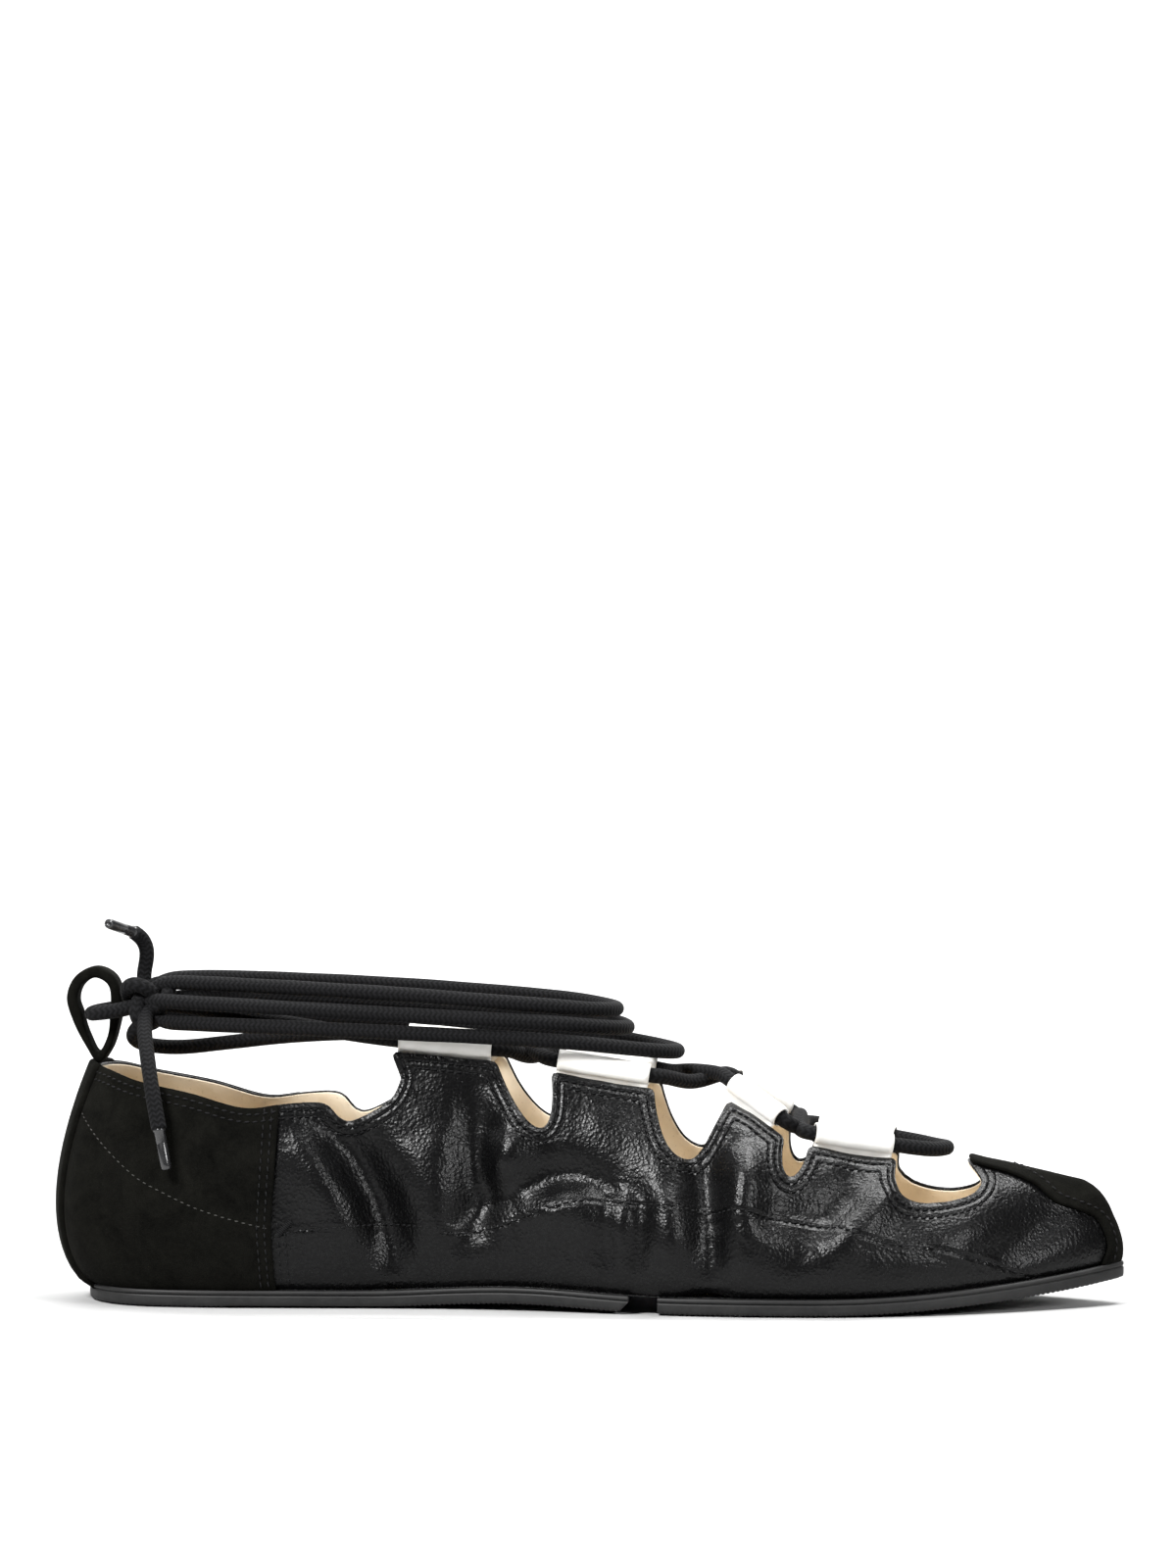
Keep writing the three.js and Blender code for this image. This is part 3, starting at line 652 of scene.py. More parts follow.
def add_crossing(number):
    outer_up = tunnel_mouth("outer", number + 1, "back")
    inner_down = tunnel_mouth("inner", number, "front")
    inner_up = tunnel_mouth("inner", number + 1, "back")
    outer_down = tunnel_mouth("outer", number, "front")
    over = add_strand("over", strand_rows(outer_up, inner_down, crossing_lift), 1.3)
    under = add_strand("under", strand_rows(inner_up, outer_down, -crossing_lift), 2.4)
    crossing = join_meshes(f"lace_crossing_{number + 1}", [over, under])
    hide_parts(f"lace_cross_{number + 1}")
    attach(crossing, "root")


for number in range(3):
    add_crossing(number)
bar_near = bar_side(tunnel_mouth("outer", 3, "front"), 1)
bar_far = bar_side(tunnel_mouth("inner", 3, "front"), -1)[::-1]
nose = (bar_near[-1] + bar_far[0]) / 2 + np.array((bar_nose, 0, 0))
bar = add_strand("lace_bar", [*bar_near, nose, *bar_far], 3.7)
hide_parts("lace_front_bar")
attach(bar, "root")


# Upper
# One piece of thin black nappa, pulled over the last and stuck under its edge, with a turned and
# twice stitched top line. It stands empty and has slumped into deep soft folds at the waist.
sole_length = 263
heel_width = 52
ball_width = 75
instep_height = 64
back_height = 59
toe_turn = 3
feather = 4.5
feather_inset = 2
arch_rise = 1.4
toe_spring = 6.5
bulge_lean = 0.6
nappa_thickness = 1.05
rows_of_last = 14
sheet_height = 60
sheet_step = 1.15
ridge_length = 260
line_room = 0.55
# along, outer, inner, ball, ridge, crown, square, bulge, bulge_top
LAST = [
    (0, 0, 0, 0, 0.091, 1.28, 0.5, 9, 1.15),
    (0.013, 0.25, 0.25, 0, 0.103, 1.28, 0.5, 8, 1.15),
    (0.049, 0.433, 0.433, 0, 0.125, 1.27, 0.5, 5, 1.1),
    (0.114, 0.5, 0.5, 0, 0.16, 1.25, 0.5, 3.5, 1),
    (0.209, 0.49, 0.45, 0, 0.228, 1.2, 0.5, 2.5, 0.9),
    (0.323, 0.386, 0.323, 0.5, 0.323, 1.13, 0.55, 2.5, 0.92),
    (0.418, 0.36, 0.287, 1, 0.418, 1.07, 0.65, 3, 0.85),
    (0.513, 0.433, 0.367, 1, 0.513, 0.985, 0.75, 3.5, 0.78),
    (0.608, 0.493, 0.46, 1, 0.608, 0.86, 0.85, 3.5, 0.69),
    (0.703, 0.5, 0.493, 1, 0.703, 0.74, 0.95, 3, 0.6),
    (0.791, 0.447, 0.467, 1, 0.791, 0.63, 1, 2.5, 0.5),
    (0.867, 0.333, 0.38, 1, 0.857, 0.535, 1, 2, 0.41),
    (0.932, 0.193, 0.247, 1, 0.905, 0.47, 1, 1.5, 0.34),
    (0.977, 0.067, 0.133, 1, 0.936, 0.425, 1, 1, 0.28),
    (1, 0, 0, 1, 0.951, 0.4, 1, 0.8, 0.25),
]
COLLAR = [
    (-0.05, 1.01), (0.014, 1), (0.056, 0.949), (0.109, 0.9), (0.161, 0.839), (0.204, 0.858),
    (0.236, 0.864), (0.25, 0.81), (0.262, 0.79), (0.282, 0.822), (0.303, 0.883), (0.312, 0.968),
]
# back, back_top, front, front_top, notch_back, notch_front, floor
TABS = [
    (0.302, 0.99, 0.4, 0.938, 0.433, 0.466, 0.683),
    (0.456, 0.9, 0.551, 0.857, 0.562, 0.594, 0.611),
    (0.624, 0.815, 0.676, 0.674, 0.668, 0.696, 0.528),
    (0.702, 0.638, 0.782, 0.579, 0, 0, 0),
]
OPENING = [
    (0.782, 0.579), (0.781, 0.5), (0.789, 0.439), (0.808, 0.409), (0.834, 0.402),
    (0.856, 0.415), (0.866, 0.456), (0.861, 0.5), (0.852, 0.545),
]
# side, depth, width, route along the shoe and up from the sole
CREASES = [
    (-1, -3.4, 5.0, [(61, 47), (68, 40), (75, 29), (79, 19), (81, 10)]),
    (-1, 2.2, 6.5, [(54, 44), (60, 36), (66, 26), (68, 16)]),
    (-1, 1.6, 7.0, [(84, 44), (89, 33), (93, 22), (97, 15)]),
    (-1, -2.6, 4.5, [(101, 52), (101, 38), (101, 26), (97, 17)]),
    (-1, 2.3, 5.5, [(110, 44), (109, 35), (107, 27)]),
    (-1, -2.0, 4.0, [(100, 22), (110, 29), (124, 33), (140, 30)]),
    (-1, 1.4, 5.0, [(112, 21), (124, 25), (138, 22)]),
    (-1, -1.2, 2.6, [(134, 29), (135, 18), (135, 9)]),
    (-1, 0.9, 3.0, [(138.5, 28), (138, 18), (138, 9)]),
    (-1, -1.2, 2.6, [(143, 28), (142, 18), (141, 9)]),
    (-1, -3.2, 4.5, [(157, 47), (159, 36), (160, 22), (160, 8)]),
    (-1, 2.4, 5.5, [(167, 42), (168, 31), (168, 17)]),
    (-1, 1.5, 5.0, [(150, 33), (151, 22), (151, 12)]),
    (-1, -1.2, 3.5, [(171, 24), (181, 26), (192, 28)]),
    (-1, 1.7, 5.0, [(205, 31), (197, 23), (189, 15)]),
    (-1, -1.7, 4.0, [(199, 34), (192, 26), (184, 18)]),
    (-1, -1.0, 4.5, [(249, 21), (238, 14), (229, 11)]),
    (-1, 0.9, 6.0, [(232, 26), (224, 19), (217, 14)]),
    (1, -2.9, 5.0, [(64, 47), (70, 39), (77, 28), (80, 14)]),
    (1, 2.0, 6.5, [(57, 43), (63, 34), (68, 20)]),
    (1, -2.4, 4.5, [(104, 50), (103, 37), (99, 22)]),
    (1, 2.0, 5.5, [(112, 43), (111, 33), (108, 24)]),
    (1, -1.8, 4.5, [(100, 20), (114, 28), (130, 30), (144, 26)]),
    (1, -2.8, 4.5, [(156, 46), (159, 33), (158, 14)]),
    (1, 2.0, 5.5, [(167, 41), (168, 28), (166, 14)]),
    (1, -1.5, 4.0, [(201, 33), (193, 24), (186, 14)]),
    (1, 1.4, 5.0, [(208, 30), (201, 21), (195, 13)]),
    (1, -0.9, 4.5, [(246, 20), (236, 13), (228, 10)]),
]
SIDE_SEAM = [
    (51.8, 18.6), (59.8, 19.8), (72.7, 20.7), (90.7, 20.5), (95.8, 18.9), (105.8, 20.7),
    (117.2, 24.8), (129.8, 28.2), (142.8, 27.5), (161.5, 26.2), (176, 24.6), (190.4, 22.6),
    (197, 19.7), (204.6, 17.9), (216.4, 16.4), (230.2, 12.5), (242, 6.6),
]
map_scale = 10.0
fold_depth = 1.85
fold_width = 1.22
unevenness = 0.55
uneven_scale = 0.07
fine_uneven_scale = 0.19
slump_start = 50
slump_start_fade = 12
slump_end = 236
slump_end_fade = 20
slope_step = 0.03
slope_share = 0.02
halvings = 26
# millimetres from the top line, height: the turned edge and the two sunk stitch rows
EDGE_RELIEF = [
    (0, 0.55), (0.7, 1), (1.05, 0.8), (1.35, 0.1), (1.75, 0.8), (2.3, 0.95), (2.8, 0.75), (3.15, 0.1),
    (3.6, 0.6), (5.2, 0.5),
]
# millimetres from the side seam, height
SEAM_RELIEF = [(0, 0.05), (0.35, 0.45), (1.0, 0.8), (2.2, 0.5)]
# Grain colours: a painted shade for the hollows of the grain, the leather's face for its crests.
NAPPA_HOLLOW_SHADE = (0.0008, 0.0008, 0.0009, 1)
NAPPA_FACE = (0.0028, 0.0028, 0.003, 1)


def rise(x):
    arch_start, arch_end, spring_start = 0.27 * sole_length, 0.57 * sole_length, 0.715 * sole_length
    arch = np.clip((x - arch_start) / (arch_end - arch_start), 0, 1)
    spring = np.maximum(0, (x - spring_start) / (sole_length - spring_start))
    return arch_rise * np.sin(np.pi * arch) ** 2 + toe_spring * spring**1.8


def row_edge(row, side):
    along, outer, inner, ball = row[:4]
    width = heel_width * (1 - ball) + ball_width * ball
    reach = -outer * width if side < 0 else inner * width
    return (along * sole_length, reach + (toe_turn if along == 1 else 0))


OUTLINE = [row_edge(row, -1) for row in LAST] + [row_edge(row, 1) for row in LAST[-2:0:-1]]
RIDGE = [
    (row[4] * sole_length, (row_edge(row, -1)[1] + row_edge(row, 1)[1]) / 2, row[5] * instep_height)
    for row in LAST
]
STANCE = [(row[6], row[7], row[8] * instep_height) for row in LAST]


def edge_at(side, place):
    share = place / (2 * rows_of_last)
    return smooth_line(OUTLINE, np.where(side < 0, share, (1 - share) % 1), closed=True)


def ridge_at(place):
    return smooth_line(RIDGE, place / rows_of_last)


def form(side, place, share):
    """Points of the last's skin. side is -1 outside and 1 inside, share climbs to the ridge."""
    edge = edge_at(side, place)
    top = ridge_at(place)
    stance = smooth_line(STANCE, place / rows_of_last)
    inward = top[:, :2] - edge
    reach = np.linalg.norm(inward, axis=1)
    angle = share * math.pi / 2
    height = feather + (top[:, 2] - feather) * np.sin(angle)
    bulge_share = np.clip((height - feather) / (stance[:, 2] - feather), 0, 1)
    bulge = stance[:, 1] * np.sin(np.pi * bulge_share**bulge_lean)
    lean = 1 - np.maximum(0, np.cos(angle)) ** stance[:, 0]
    plan = feather_inset + (reach - feather_inset) * lean - bulge
    flat = edge + inward / reach[:, None] * plan[:, None]
    return np.column_stack([flat, height + rise(flat[:, 0])])


def outward(side, place, share):
    """The way out of the skin, from its slopes along and up."""
    along = form(side, np.minimum(place + slope_step, rows_of_last), share)
    along = along - form(side, np.maximum(place - slope_step, 0), share)
    up = form(side, place, np.minimum(share + slope_share, 1))
    up = up - form(side, place, np.maximum(share - slope_share, 0))
    return unit(np.cross(along, up) * -np.asarray(side, float)[:, None])


def crease_line(route):
    return smooth_line(route, np.linspace(0, 1, 36))


def folds(side, points):
    """How far the soft leather stands out, from its listed creases and a little unevenness."""
    seen = np.column_stack([points[:, 0], points[:, 2] - rise(points[:, 0])])
    total = np.zeros(len(points))
    for crease_side, depth, width, route in CREASES:
        line = crease_line(route)
        gaps = np.linalg.norm(seen[:, None] - line[None], axis=2)
        nearest = np.argmin(gaps, axis=1)
        fade = np.sin(np.pi * (nearest + 3) / (len(line) + 5)) ** 0.7
        away = gaps.min(axis=1) / (fold_width * width)
        swell = fold_depth * depth * fade * np.exp(-away * away)
        total += np.where(side == crease_side, swell, 0)
    uneven = np.array([noise.noise(Vector(p) * uneven_scale) for p in points])
    uneven += 0.5 * np.array([noise.noise(Vector(p) * fine_uneven_scale) for p in points])
    soft = np.clip((seen[:, 0] - slump_start) / slump_start_fade, 0, 1)
    soft = soft * np.clip((slump_end - seen[:, 0]) / slump_end_fade, 0, 1)
    return total + unevenness * uneven * soft * np.clip(seen[:, 1] / 8 - 0.5, 0, 1)


def skin(side, place, share, lift=0.0):
    """Points on the creased leather, lifted off it by so many millimetres."""
    base = form(side, place, share)
    out = outward(side, place, share)
    return base + out * (folds(side, base) + lift)[:, None], out


def girth_marks(side):
    """Distance round the sole's edge from the heel seam, at each of PLACES."""
    edge = edge_at(np.full(len(PLACES), side), PLACES)
    return np.r_[0, np.cumsum(np.linalg.norm(np.diff(edge, axis=0), axis=1))]


PLACES = np.linspace(0, rows_of_last, 561)
GIRTH = {side: girth_marks(side) for side in (-1, 1)}


def seen_on_form(side, seen):
    """Place and share of the skin's point seen from the side at x and z."""
    x, z = np.asarray(seen, float).T
    sides = np.full(len(x), side)
    low, high = np.zeros(len(x)), np.full(len(x), float(rows_of_last))
    for _ in range(halvings):
        place = (low + high) / 2
        share = climb(place, z - rise(x))
        behind = form(sides, place, share)[:, 0] < x
        low, high = np.where(behind, place, low), np.where(behind, high, place)
    return low, climb(low, z - rise(x))


def climb(place, height):
    """Share of the way up to the ridge at a height over the sole's floor."""
    top = ridge_at(place)[:, 2]
    return np.arcsin(np.clip((height - feather) / (top - feather), 0, 1)) / (math.pi / 2)


def on_sheet(side, place, share):
    """The skin unrolled: millimetres round the sole, and up."""
    return np.column_stack([np.interp(place, PLACES, GIRTH[side]), share * sheet_height])


def off_sheet(side, flat):
    place = np.interp(flat[:, 0], GIRTH[side], PLACES)
    return place, np.clip(flat[:, 1] / sheet_height, 0, 1)


def seam_rows(rows, height):
    rows = np.array(rows, float)
    x = rows[:, 0] * sole_length
    return np.column_stack([x, rows[:, 1] * height + rise(x)])


def flat_curve(points, steps):
    """A uniform smooth curve through points seen from the side."""
    points = np.asarray(points, float)
    chain = np.vstack([points[0], points, points[-1]])
    place = np.linspace(0, len(points) - 1, steps + 1)
    first = np.minimum(np.floor(place).astype(int), len(points) - 2)
    t = (place - first)[:, None]
    a, b, c, d = (chain[first + k] for k in range(4))
    leave, arrive = (c - a) / 2, (d - b) / 2
    return b + leave * t + (3 * (c - b) - 2 * leave - arrive) * t**2 + (2 * (b - c) + leave + arrive) * t**3


def notch_rows(tab, following):
    start, end = np.array(tab[2:4]), np.array(following[0:2])
    pull = (tab[6] - (start[1] + end[1]) / 8) * 4 / 3
    first, second = np.array((tab[4], pull)), np.array((tab[5], pull))
    t = np.linspace(0, 1, 33)[1:, None]
    return start * (1 - t) ** 3 + 3 * first * t * (1 - t) ** 2 + 3 * second * t**2 * (1 - t) + end * t**3


def round_corners(line, radius=2.0, passes=3):
    """The line with its corners softened, as leather turned over a cord is."""
    line = even_line(line, 0.5)
    reach = int(radius / 0.5)
    for _ in range(passes):
        padded = np.vstack([np.repeat(line[:1], reach, 0), line, np.repeat(line[-1:], reach, 0)])
        kernel = np.ones(2 * reach + 1) / (2 * reach + 1)
        moved = np.column_stack([np.convolve(padded[:, k], kernel, "valid") for k in range(2)])
        line = np.vstack([line[:1], moved[1:-1], line[-1:]])
    return line


def scalloped_line():
    """The top line seen from the side: collar, four tabs, front opening, peak of the vamp."""
    line = list(flat_curve(seam_rows(COLLAR, back_height), 90))
    for number, tab in enumerate(TABS):
        ends = [tab[0:2], tab[2:4]] if number == 0 else [tab[2:4]]
        line += list(seam_rows(ends, instep_height))
        if number + 1 < len(TABS):
            line += list(seam_rows(notch_rows(tab, TABS[number + 1]), instep_height))
    line += list(flat_curve(seam_rows(OPENING, instep_height), 50)[1:])
    return even_line(round_corners(np.array(line), 0.5, 2), 0.8)


TOP_LINE = scalloped_line()


def on_side(side, seen):
    """A line seen from the side, laid on the unrolled skin."""
    return on_sheet(side, *seen_on_form(side, seen))


def throat_patch(side):
    """The part of the unrolled skin that is cut away."""
    line = on_side(side, TOP_LINE)
    above = 2 * sheet_height
    return np.vstack([line, [(line[-1, 0], above), (-9, above), (-9, line[0, 1])]])


def inside(points, patch):
    """Which points lie in a closed patch."""
    x, y = points.T
    hit = np.zeros(len(points), bool)
    for (ax, ay), (bx, by) in zip(patch, np.roll(patch, -1, axis=0)):
        crosses = (ay > y) != (by > y)
        if ay != by:
            hit ^= crosses & (x < (bx - ax) * (y - ay) / (by - ay) + ax)
    return hit


def sheet_grid(side, step):
    """Points all over the unrolled skin, with the same ones on the two sides' shared edges."""
    wide = GIRTH[side][-1]
    columns = np.linspace(0, wide, round(wide / step) + 1)
    levels = np.linspace(0, sheet_height, round(sheet_height / step) + 1)
    inner = np.array([(u, v) for u in columns[1:-1] for v in levels[1:-1]])
    ridge_places = np.linspace(0, rows_of_last, round(ridge_length / step) + 1)
    ridge = on_sheet(side, ridge_places, np.ones(len(ridge_places)))
    floor = [(u, 0.0) for u in columns]
    toe = [(wide, v) for v in levels[1:-1]]
    heel = [(0.0, v) for v in levels[-2:0:-1]]
    border = np.array([*floor, *toe, *ridge[::-1], *heel])
    return border, inner


def clear_of(points, lines, gap):
    """The points that are not crowded against a line."""
    kept = np.ones(len(points), bool)
    for line in lines:
        for part in np.array_split(line, max(1, len(line) // 200)):
            near = np.min(np.sum((points[:, None] - part[None]) ** 2, axis=2), axis=1)
            kept &= near > gap * gap
    return points[kept]


def cut_sheet(side, patch_lines, keep, step):
    """Triangles of the unrolled skin, cut along the lines, where keep says so."""
    border, inner = sheet_grid(side, step)
    inner = clear_of(inner, patch_lines, line_room * step)
    points = [tuple(p) for p in border]
    edges = [(i, (i + 1) % len(border)) for i in range(len(border))]
    for line in patch_lines:
        start = len(points)
        points += [tuple(p) for p in line]
        edges += [(start + i, start + i + 1) for i in range(len(line) - 1)]
    points += [tuple(p) for p in inner]
    flat, _, faces, *_ = delaunay_2d_cdt([Vector(p) for p in points], edges, [], 0, 1e-5)
    flat = np.array([tuple(p) for p in flat])
    faces = np.array([f for f in faces if len(f) == 3])
    centres = flat[faces].mean(axis=1)
    low = centres[:, 0] > 0
    return flat, faces[low & keep(centres)]


def welded(sheets):
    """One set of points out of the two sides, joined at the heel, the toe and the ridge."""
    places, shares, sides, faces = [], [], [], []
    known = {}
    for side, flat, kept in sheets:
        names = {}
        place, share = off_sheet(side, flat)
        for face in kept:
            corners = []
            for corner in face:
                if corner not in names:
                    names[corner] = shared_corner(known, place[corner], share[corner], len(places))
                    if names[corner] == len(places):
                        places.append(place[corner])
                        shares.append(share[corner])
                        sides.append(side)
                corners.append(names[corner])
            if len(set(corners)) == 3:
                faces.append(corners if side < 0 else corners[::-1])
    return np.array(sides), np.array(places), np.array(shares), np.array(faces)


def shared_corner(known, place, share, fresh):
    if place < 1e-5:
        key = ("heel", round(share, 3))
    elif place > rows_of_last - 1e-5:
        key = ("toe", round(share, 3))
    elif share > 1 - 1e-5:
        key = ("ridge", round(place, 3))
    else:
        return fresh
    return known.setdefault(key, fresh)


def rim_edges(faces):
    """Edges that only one face has, in that face's order."""
    used = {}
    for a, b, c in faces:
        for edge in ((a, b), (b, c), (c, a)):
            used[edge] = True
    return [edge for edge in used if (edge[1], edge[0]) not in used]


def line_gaps(line, points):
    """Distance of each point to a line, both seen from the side."""
    line = even_line(np.asarray(line, float), 0.2)
    tree = KDTree(len(line))
    for number, (x, z) in enumerate(line):
        tree.insert((x, 0, z), number)
    tree.balance()
    return np.array([tree.find((x, 0, z))[2] for x, _, z in points])


def add_edge_map(piece, points):
    """A UV map: how far from the top line and from the side seam, in centimetres."""
    shares = np.column_stack([line_gaps(TOP_LINE, points), line_gaps(SIDE_SEAM, points)]) / map_scale
    corners = np.zeros(len(piece.data.loops), int)
    piece.data.loops.foreach_get("vertex_index", corners)
    uv = piece.data.uv_layers.new(name="from_seams")
    uv.data.foreach_set("uv", shares[corners].ravel())


def add_leather(name, sheets, outer_lift, inner_lift, material, roundness=0.9, rim_steps=5):
    """A closed sheet of leather over the skin, with a rounded edge all round."""
    sides, places, shares, faces = welded(sheets)
    face_side, out = skin(sides, places, shares, outer_lift)
    back_side, _ = skin(sides, places, shares, inner_lift)
    count = len(face_side)
    points = [*face_side, *back_side]
    made = [tuple(f) for f in faces] + [tuple(f[::-1] + count) for f in faces]
    edges = rim_edges(faces)
    beyond = np.zeros_like(face_side)
    for a, b in edges:
        way = np.cross(unit(face_side[b] - face_side[a]), out[a] + out[b])
        beyond[a] += way
        beyond[b] += way
    beyond = unit(beyond)
    half = (outer_lift - inner_lift) / 2
    corners = sorted({corner for edge in edges for corner in edge})
    rings = [{corner: corner for corner in corners}]
    for step in range(1, rim_steps):
        angle = math.pi * step / rim_steps
        ring = {}
        for corner in corners:
            middle = (face_side[corner] + back_side[corner]) / 2
            point = middle + math.cos(angle) * (face_side[corner] - back_side[corner]) / 2
            ring[corner] = len(points)
            points.append(point + beyond[corner] * math.sin(angle) * half * roundness)
        rings.append(ring)
    rings.append({corner: corner + count for corner in corners})
    for upper_ring, lower_ring in zip(rings, rings[1:]):
        for a, b in edges:
            made.append((upper_ring[b], upper_ring[a], lower_ring[a], lower_ring[b]))
    piece = add_mesh(name, in_frame(points), made, [material])
    base = form(sides, places, shares)
    add_edge_map(piece, np.vstack([base, base, np.array(points[2 * count:]).reshape(-1, 3)]))
    return piece


def relief(finish, gap, stops):
    """Height of the leather beside a seam, from its distance."""
    tones = [(at / map_scale, (height, height, height, 1)) for at, height in stops]
    return finish.node("ShaderNodeValToRGB", {"stops": tones}, {"Fac": gap})


def grained_nappa():
    nappa = Finish("grained_nappa", {"Specular IOR Level": 0.2, "IOR": 1.5})
    place = nappa.place()
    drift = nappa.noise(place, 2.2, 2)
    pebble_look = {"feature": "SMOOTH_F1"}
    pebble_values = {"Vector": place, "Scale": 1000 / 0.9, "Randomness": 0.95, "Smoothness": 0.3}
    pebbles = nappa.node("ShaderNodeTexVoronoi", pebble_look, pebble_values, "Distance")
    fine_values = {"Vector": place, "Scale": 1000 / 0.45, "Smoothness": 0.3}
    fine = nappa.node("ShaderNodeTexVoronoi", pebble_look, fine_values, "Distance")
    wrinkles = nappa.noise(place, 2.6, 4, 0.6, 1.4)
    patches = nappa.noise(place, 34, 3)
    grain = (1 - pebbles) * 0.62 + (1 - fine) * 0.2 + drift * 0.25
    crests = nappa.ramp(grain, 0.42, 0.74)
    # Painted shade: the colour is darker in the hollows of the grain and lighter on its crests.
    colour = nappa.mix(crests, NAPPA_HOLLOW_SHADE, NAPPA_FACE)
    rough = 0.3 - crests * 0.1 + patches * 0.1
    seam_map = nappa.node("ShaderNodeUVMap", {"uv_map": "from_seams"})
    from_edge = nappa.node("ShaderNodeSeparateXYZ", None, {0: seam_map})
    from_seam = Level(nappa, from_edge.socket.node.outputs["Y"])
    sunk = relief(nappa, from_edge, EDGE_RELIEF) + relief(nappa, from_seam, SEAM_RELIEF)
    turned = nappa.bump(sunk, 0.45, 1.0)
    coarse = nappa.bump(wrinkles, 0.5, 0.22, turned)
    normal = nappa.bump(grain, 0.22, 0.85, coarse)
    nappa.feed(nappa.shader, {"Base Color": colour, "Roughness": rough, "Normal": normal})
    return nappa.material


black_nappa = grained_nappa()
throats = {side: throat_patch(side) for side in (-1, 1)}
top_lines = {side: throats[side][:-3] for side in (-1, 1)}


def upper_sheet(side, step):
    def keep(centres):
        return ~inside(centres, throats[side])

    return (side, *cut_sheet(side, [top_lines[side]], keep, step))


upper_sheets = [upper_sheet(side, sheet_step) for side in (-1, 1)]
upper = add_leather("upper_nappa", upper_sheets, 0.0, -nappa_thickness, black_nappa)
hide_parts("upper")
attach(upper, "root")


# Lining
# Thin cream pigskin lines the whole upper up to its turned edge and creases with it. A sock of the
# same leather lies on the insole, and the lasted margin of the upper closes the bottom below it.
lining_gap = 0.03
lining_thickness = 0.52
lining_step = 1.7
insole_inset = 4.5
insole_floor = 6.4
insole_thickness = 1.5
least_row = 0.6
insole_cup = 1.1
insole_columns = 28
insole_sections = 130
margin_inset = 1.6
margin_floor = 4.25
margin_thickness = 0.2
CREAM_LOW = (0.6, 0.49, 0.35, 1)
CREAM_HIGH = (0.84, 0.75, 0.6, 1)
CREAM_PORE = (0.36, 0.27, 0.18, 1)


def cream_pigskin():
    cream = Finish("cream_pigskin", {"Sheen Weight": 0.1})
    place = cream.place()
    pores = cream.node("ShaderNodeTexVoronoi", None, {"Vector": place, "Scale": 1000 / 1.3}, "Distance")
    dots = 1 - cream.ramp(pores, 0.04, 0.22)
    cloud = cream.noise(place, 18, 4)
    creases = cream.noise(place, 4.5, 4, 0.65, 1.2)
    tone = cream.mix(cream.ramp(cloud, 0.25, 0.75), CREAM_LOW, CREAM_HIGH)
    colour = cream.mix(dots * 0.35, tone, CREAM_PORE)
    height = creases * 0.8 - dots * 0.4
    wrinkled = cream.bump(height, 0.25, 0.6)
    look = {"Base Color": colour, "Roughness": cloud * 0.2 + 0.52, "Normal": wrinkled}
    cream.feed(cream.shader, look)
    return cream.material


lining_leather = cream_pigskin()
lining_sheets = [upper_sheet(side, lining_step) for side in (-1, 1)]
lining_out = -nappa_thickness - lining_gap
lining = add_leather(
    "lining_leather", lining_sheets, lining_out, lining_out - lining_thickness, lining_leather, 0.6, 3
)
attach(lining, "root")


def insole_rows(inset):
    """Rows across the insole: its two edges at each place along, where it is wide enough."""
    rows = []
    for place in np.linspace(0, rows_of_last, insole_sections):
        at = np.array([place])
        top = ridge_at(at)[0, :2]
        ends = []
        for side in (-1, 1):
            edge = edge_at(np.array([side]), at)[0]
            inward = top - edge
            if np.linalg.norm(inward) < 1.3 * inset:
                break
            ends.append(edge + unit(inward) * inset)
        if len(ends) == 2 and np.linalg.norm(ends[1] - ends[0]) > least_row:
            rows.append(ends)
    return rows


def add_slab(name, rows, floor, thickness, cup, material):
    """A thin closed sheet along the sole, dished up at its edges by the cup."""
    across = np.linspace(-1, 1, insole_columns)
    top, under = [], []
    for outer, inner in rows:
        for a in across:
            x, y = outer + (inner - outer) * (a + 1) / 2
            round_off = thickness / 3 * max(0, abs(a) - 0.93) / 0.07
            top.append((x, y, rise(x) + floor + thickness + cup * a**4 - round_off))
            under.append((x, y, rise(x) + floor))
    count = len(top)
    faces = []
    for i in range(len(rows) - 1):
        for j in range(insole_columns - 1):
            a = i * insole_columns + j
            b, c, d = a + insole_columns, a + insole_columns + 1, a + 1
            faces.append((a, b, c, d))
            faces.append((count + d, count + c, count + b, count + a))
    for a, b in rim_quads(len(rows), insole_columns):
        faces.append((b, a, count + a, count + b))
    return add_mesh(name, in_frame(top + under), faces, [material])


def rim_quads(rows, columns):
    """Edges round a grid of points, in the order of its faces."""
    around = [i * columns for i in range(rows)]
    around += [(rows - 1) * columns + j for j in range(1, columns)]
    around += [i * columns + columns - 1 for i in range(rows - 2, -1, -1)]
    around += list(range(columns - 2, 0, -1))
    return list(zip(around, around[1:] + around[:1]))


insole = add_slab(
    "insole_sock", insole_rows(insole_inset), insole_floor, insole_thickness, insole_cup, lining_leather
)
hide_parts("insole")
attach(insole, "root")
margin = add_slab(
    "lasted_margin", insole_rows(margin_inset), margin_floor, margin_thickness, 0, black_nappa
)
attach(margin, "root")


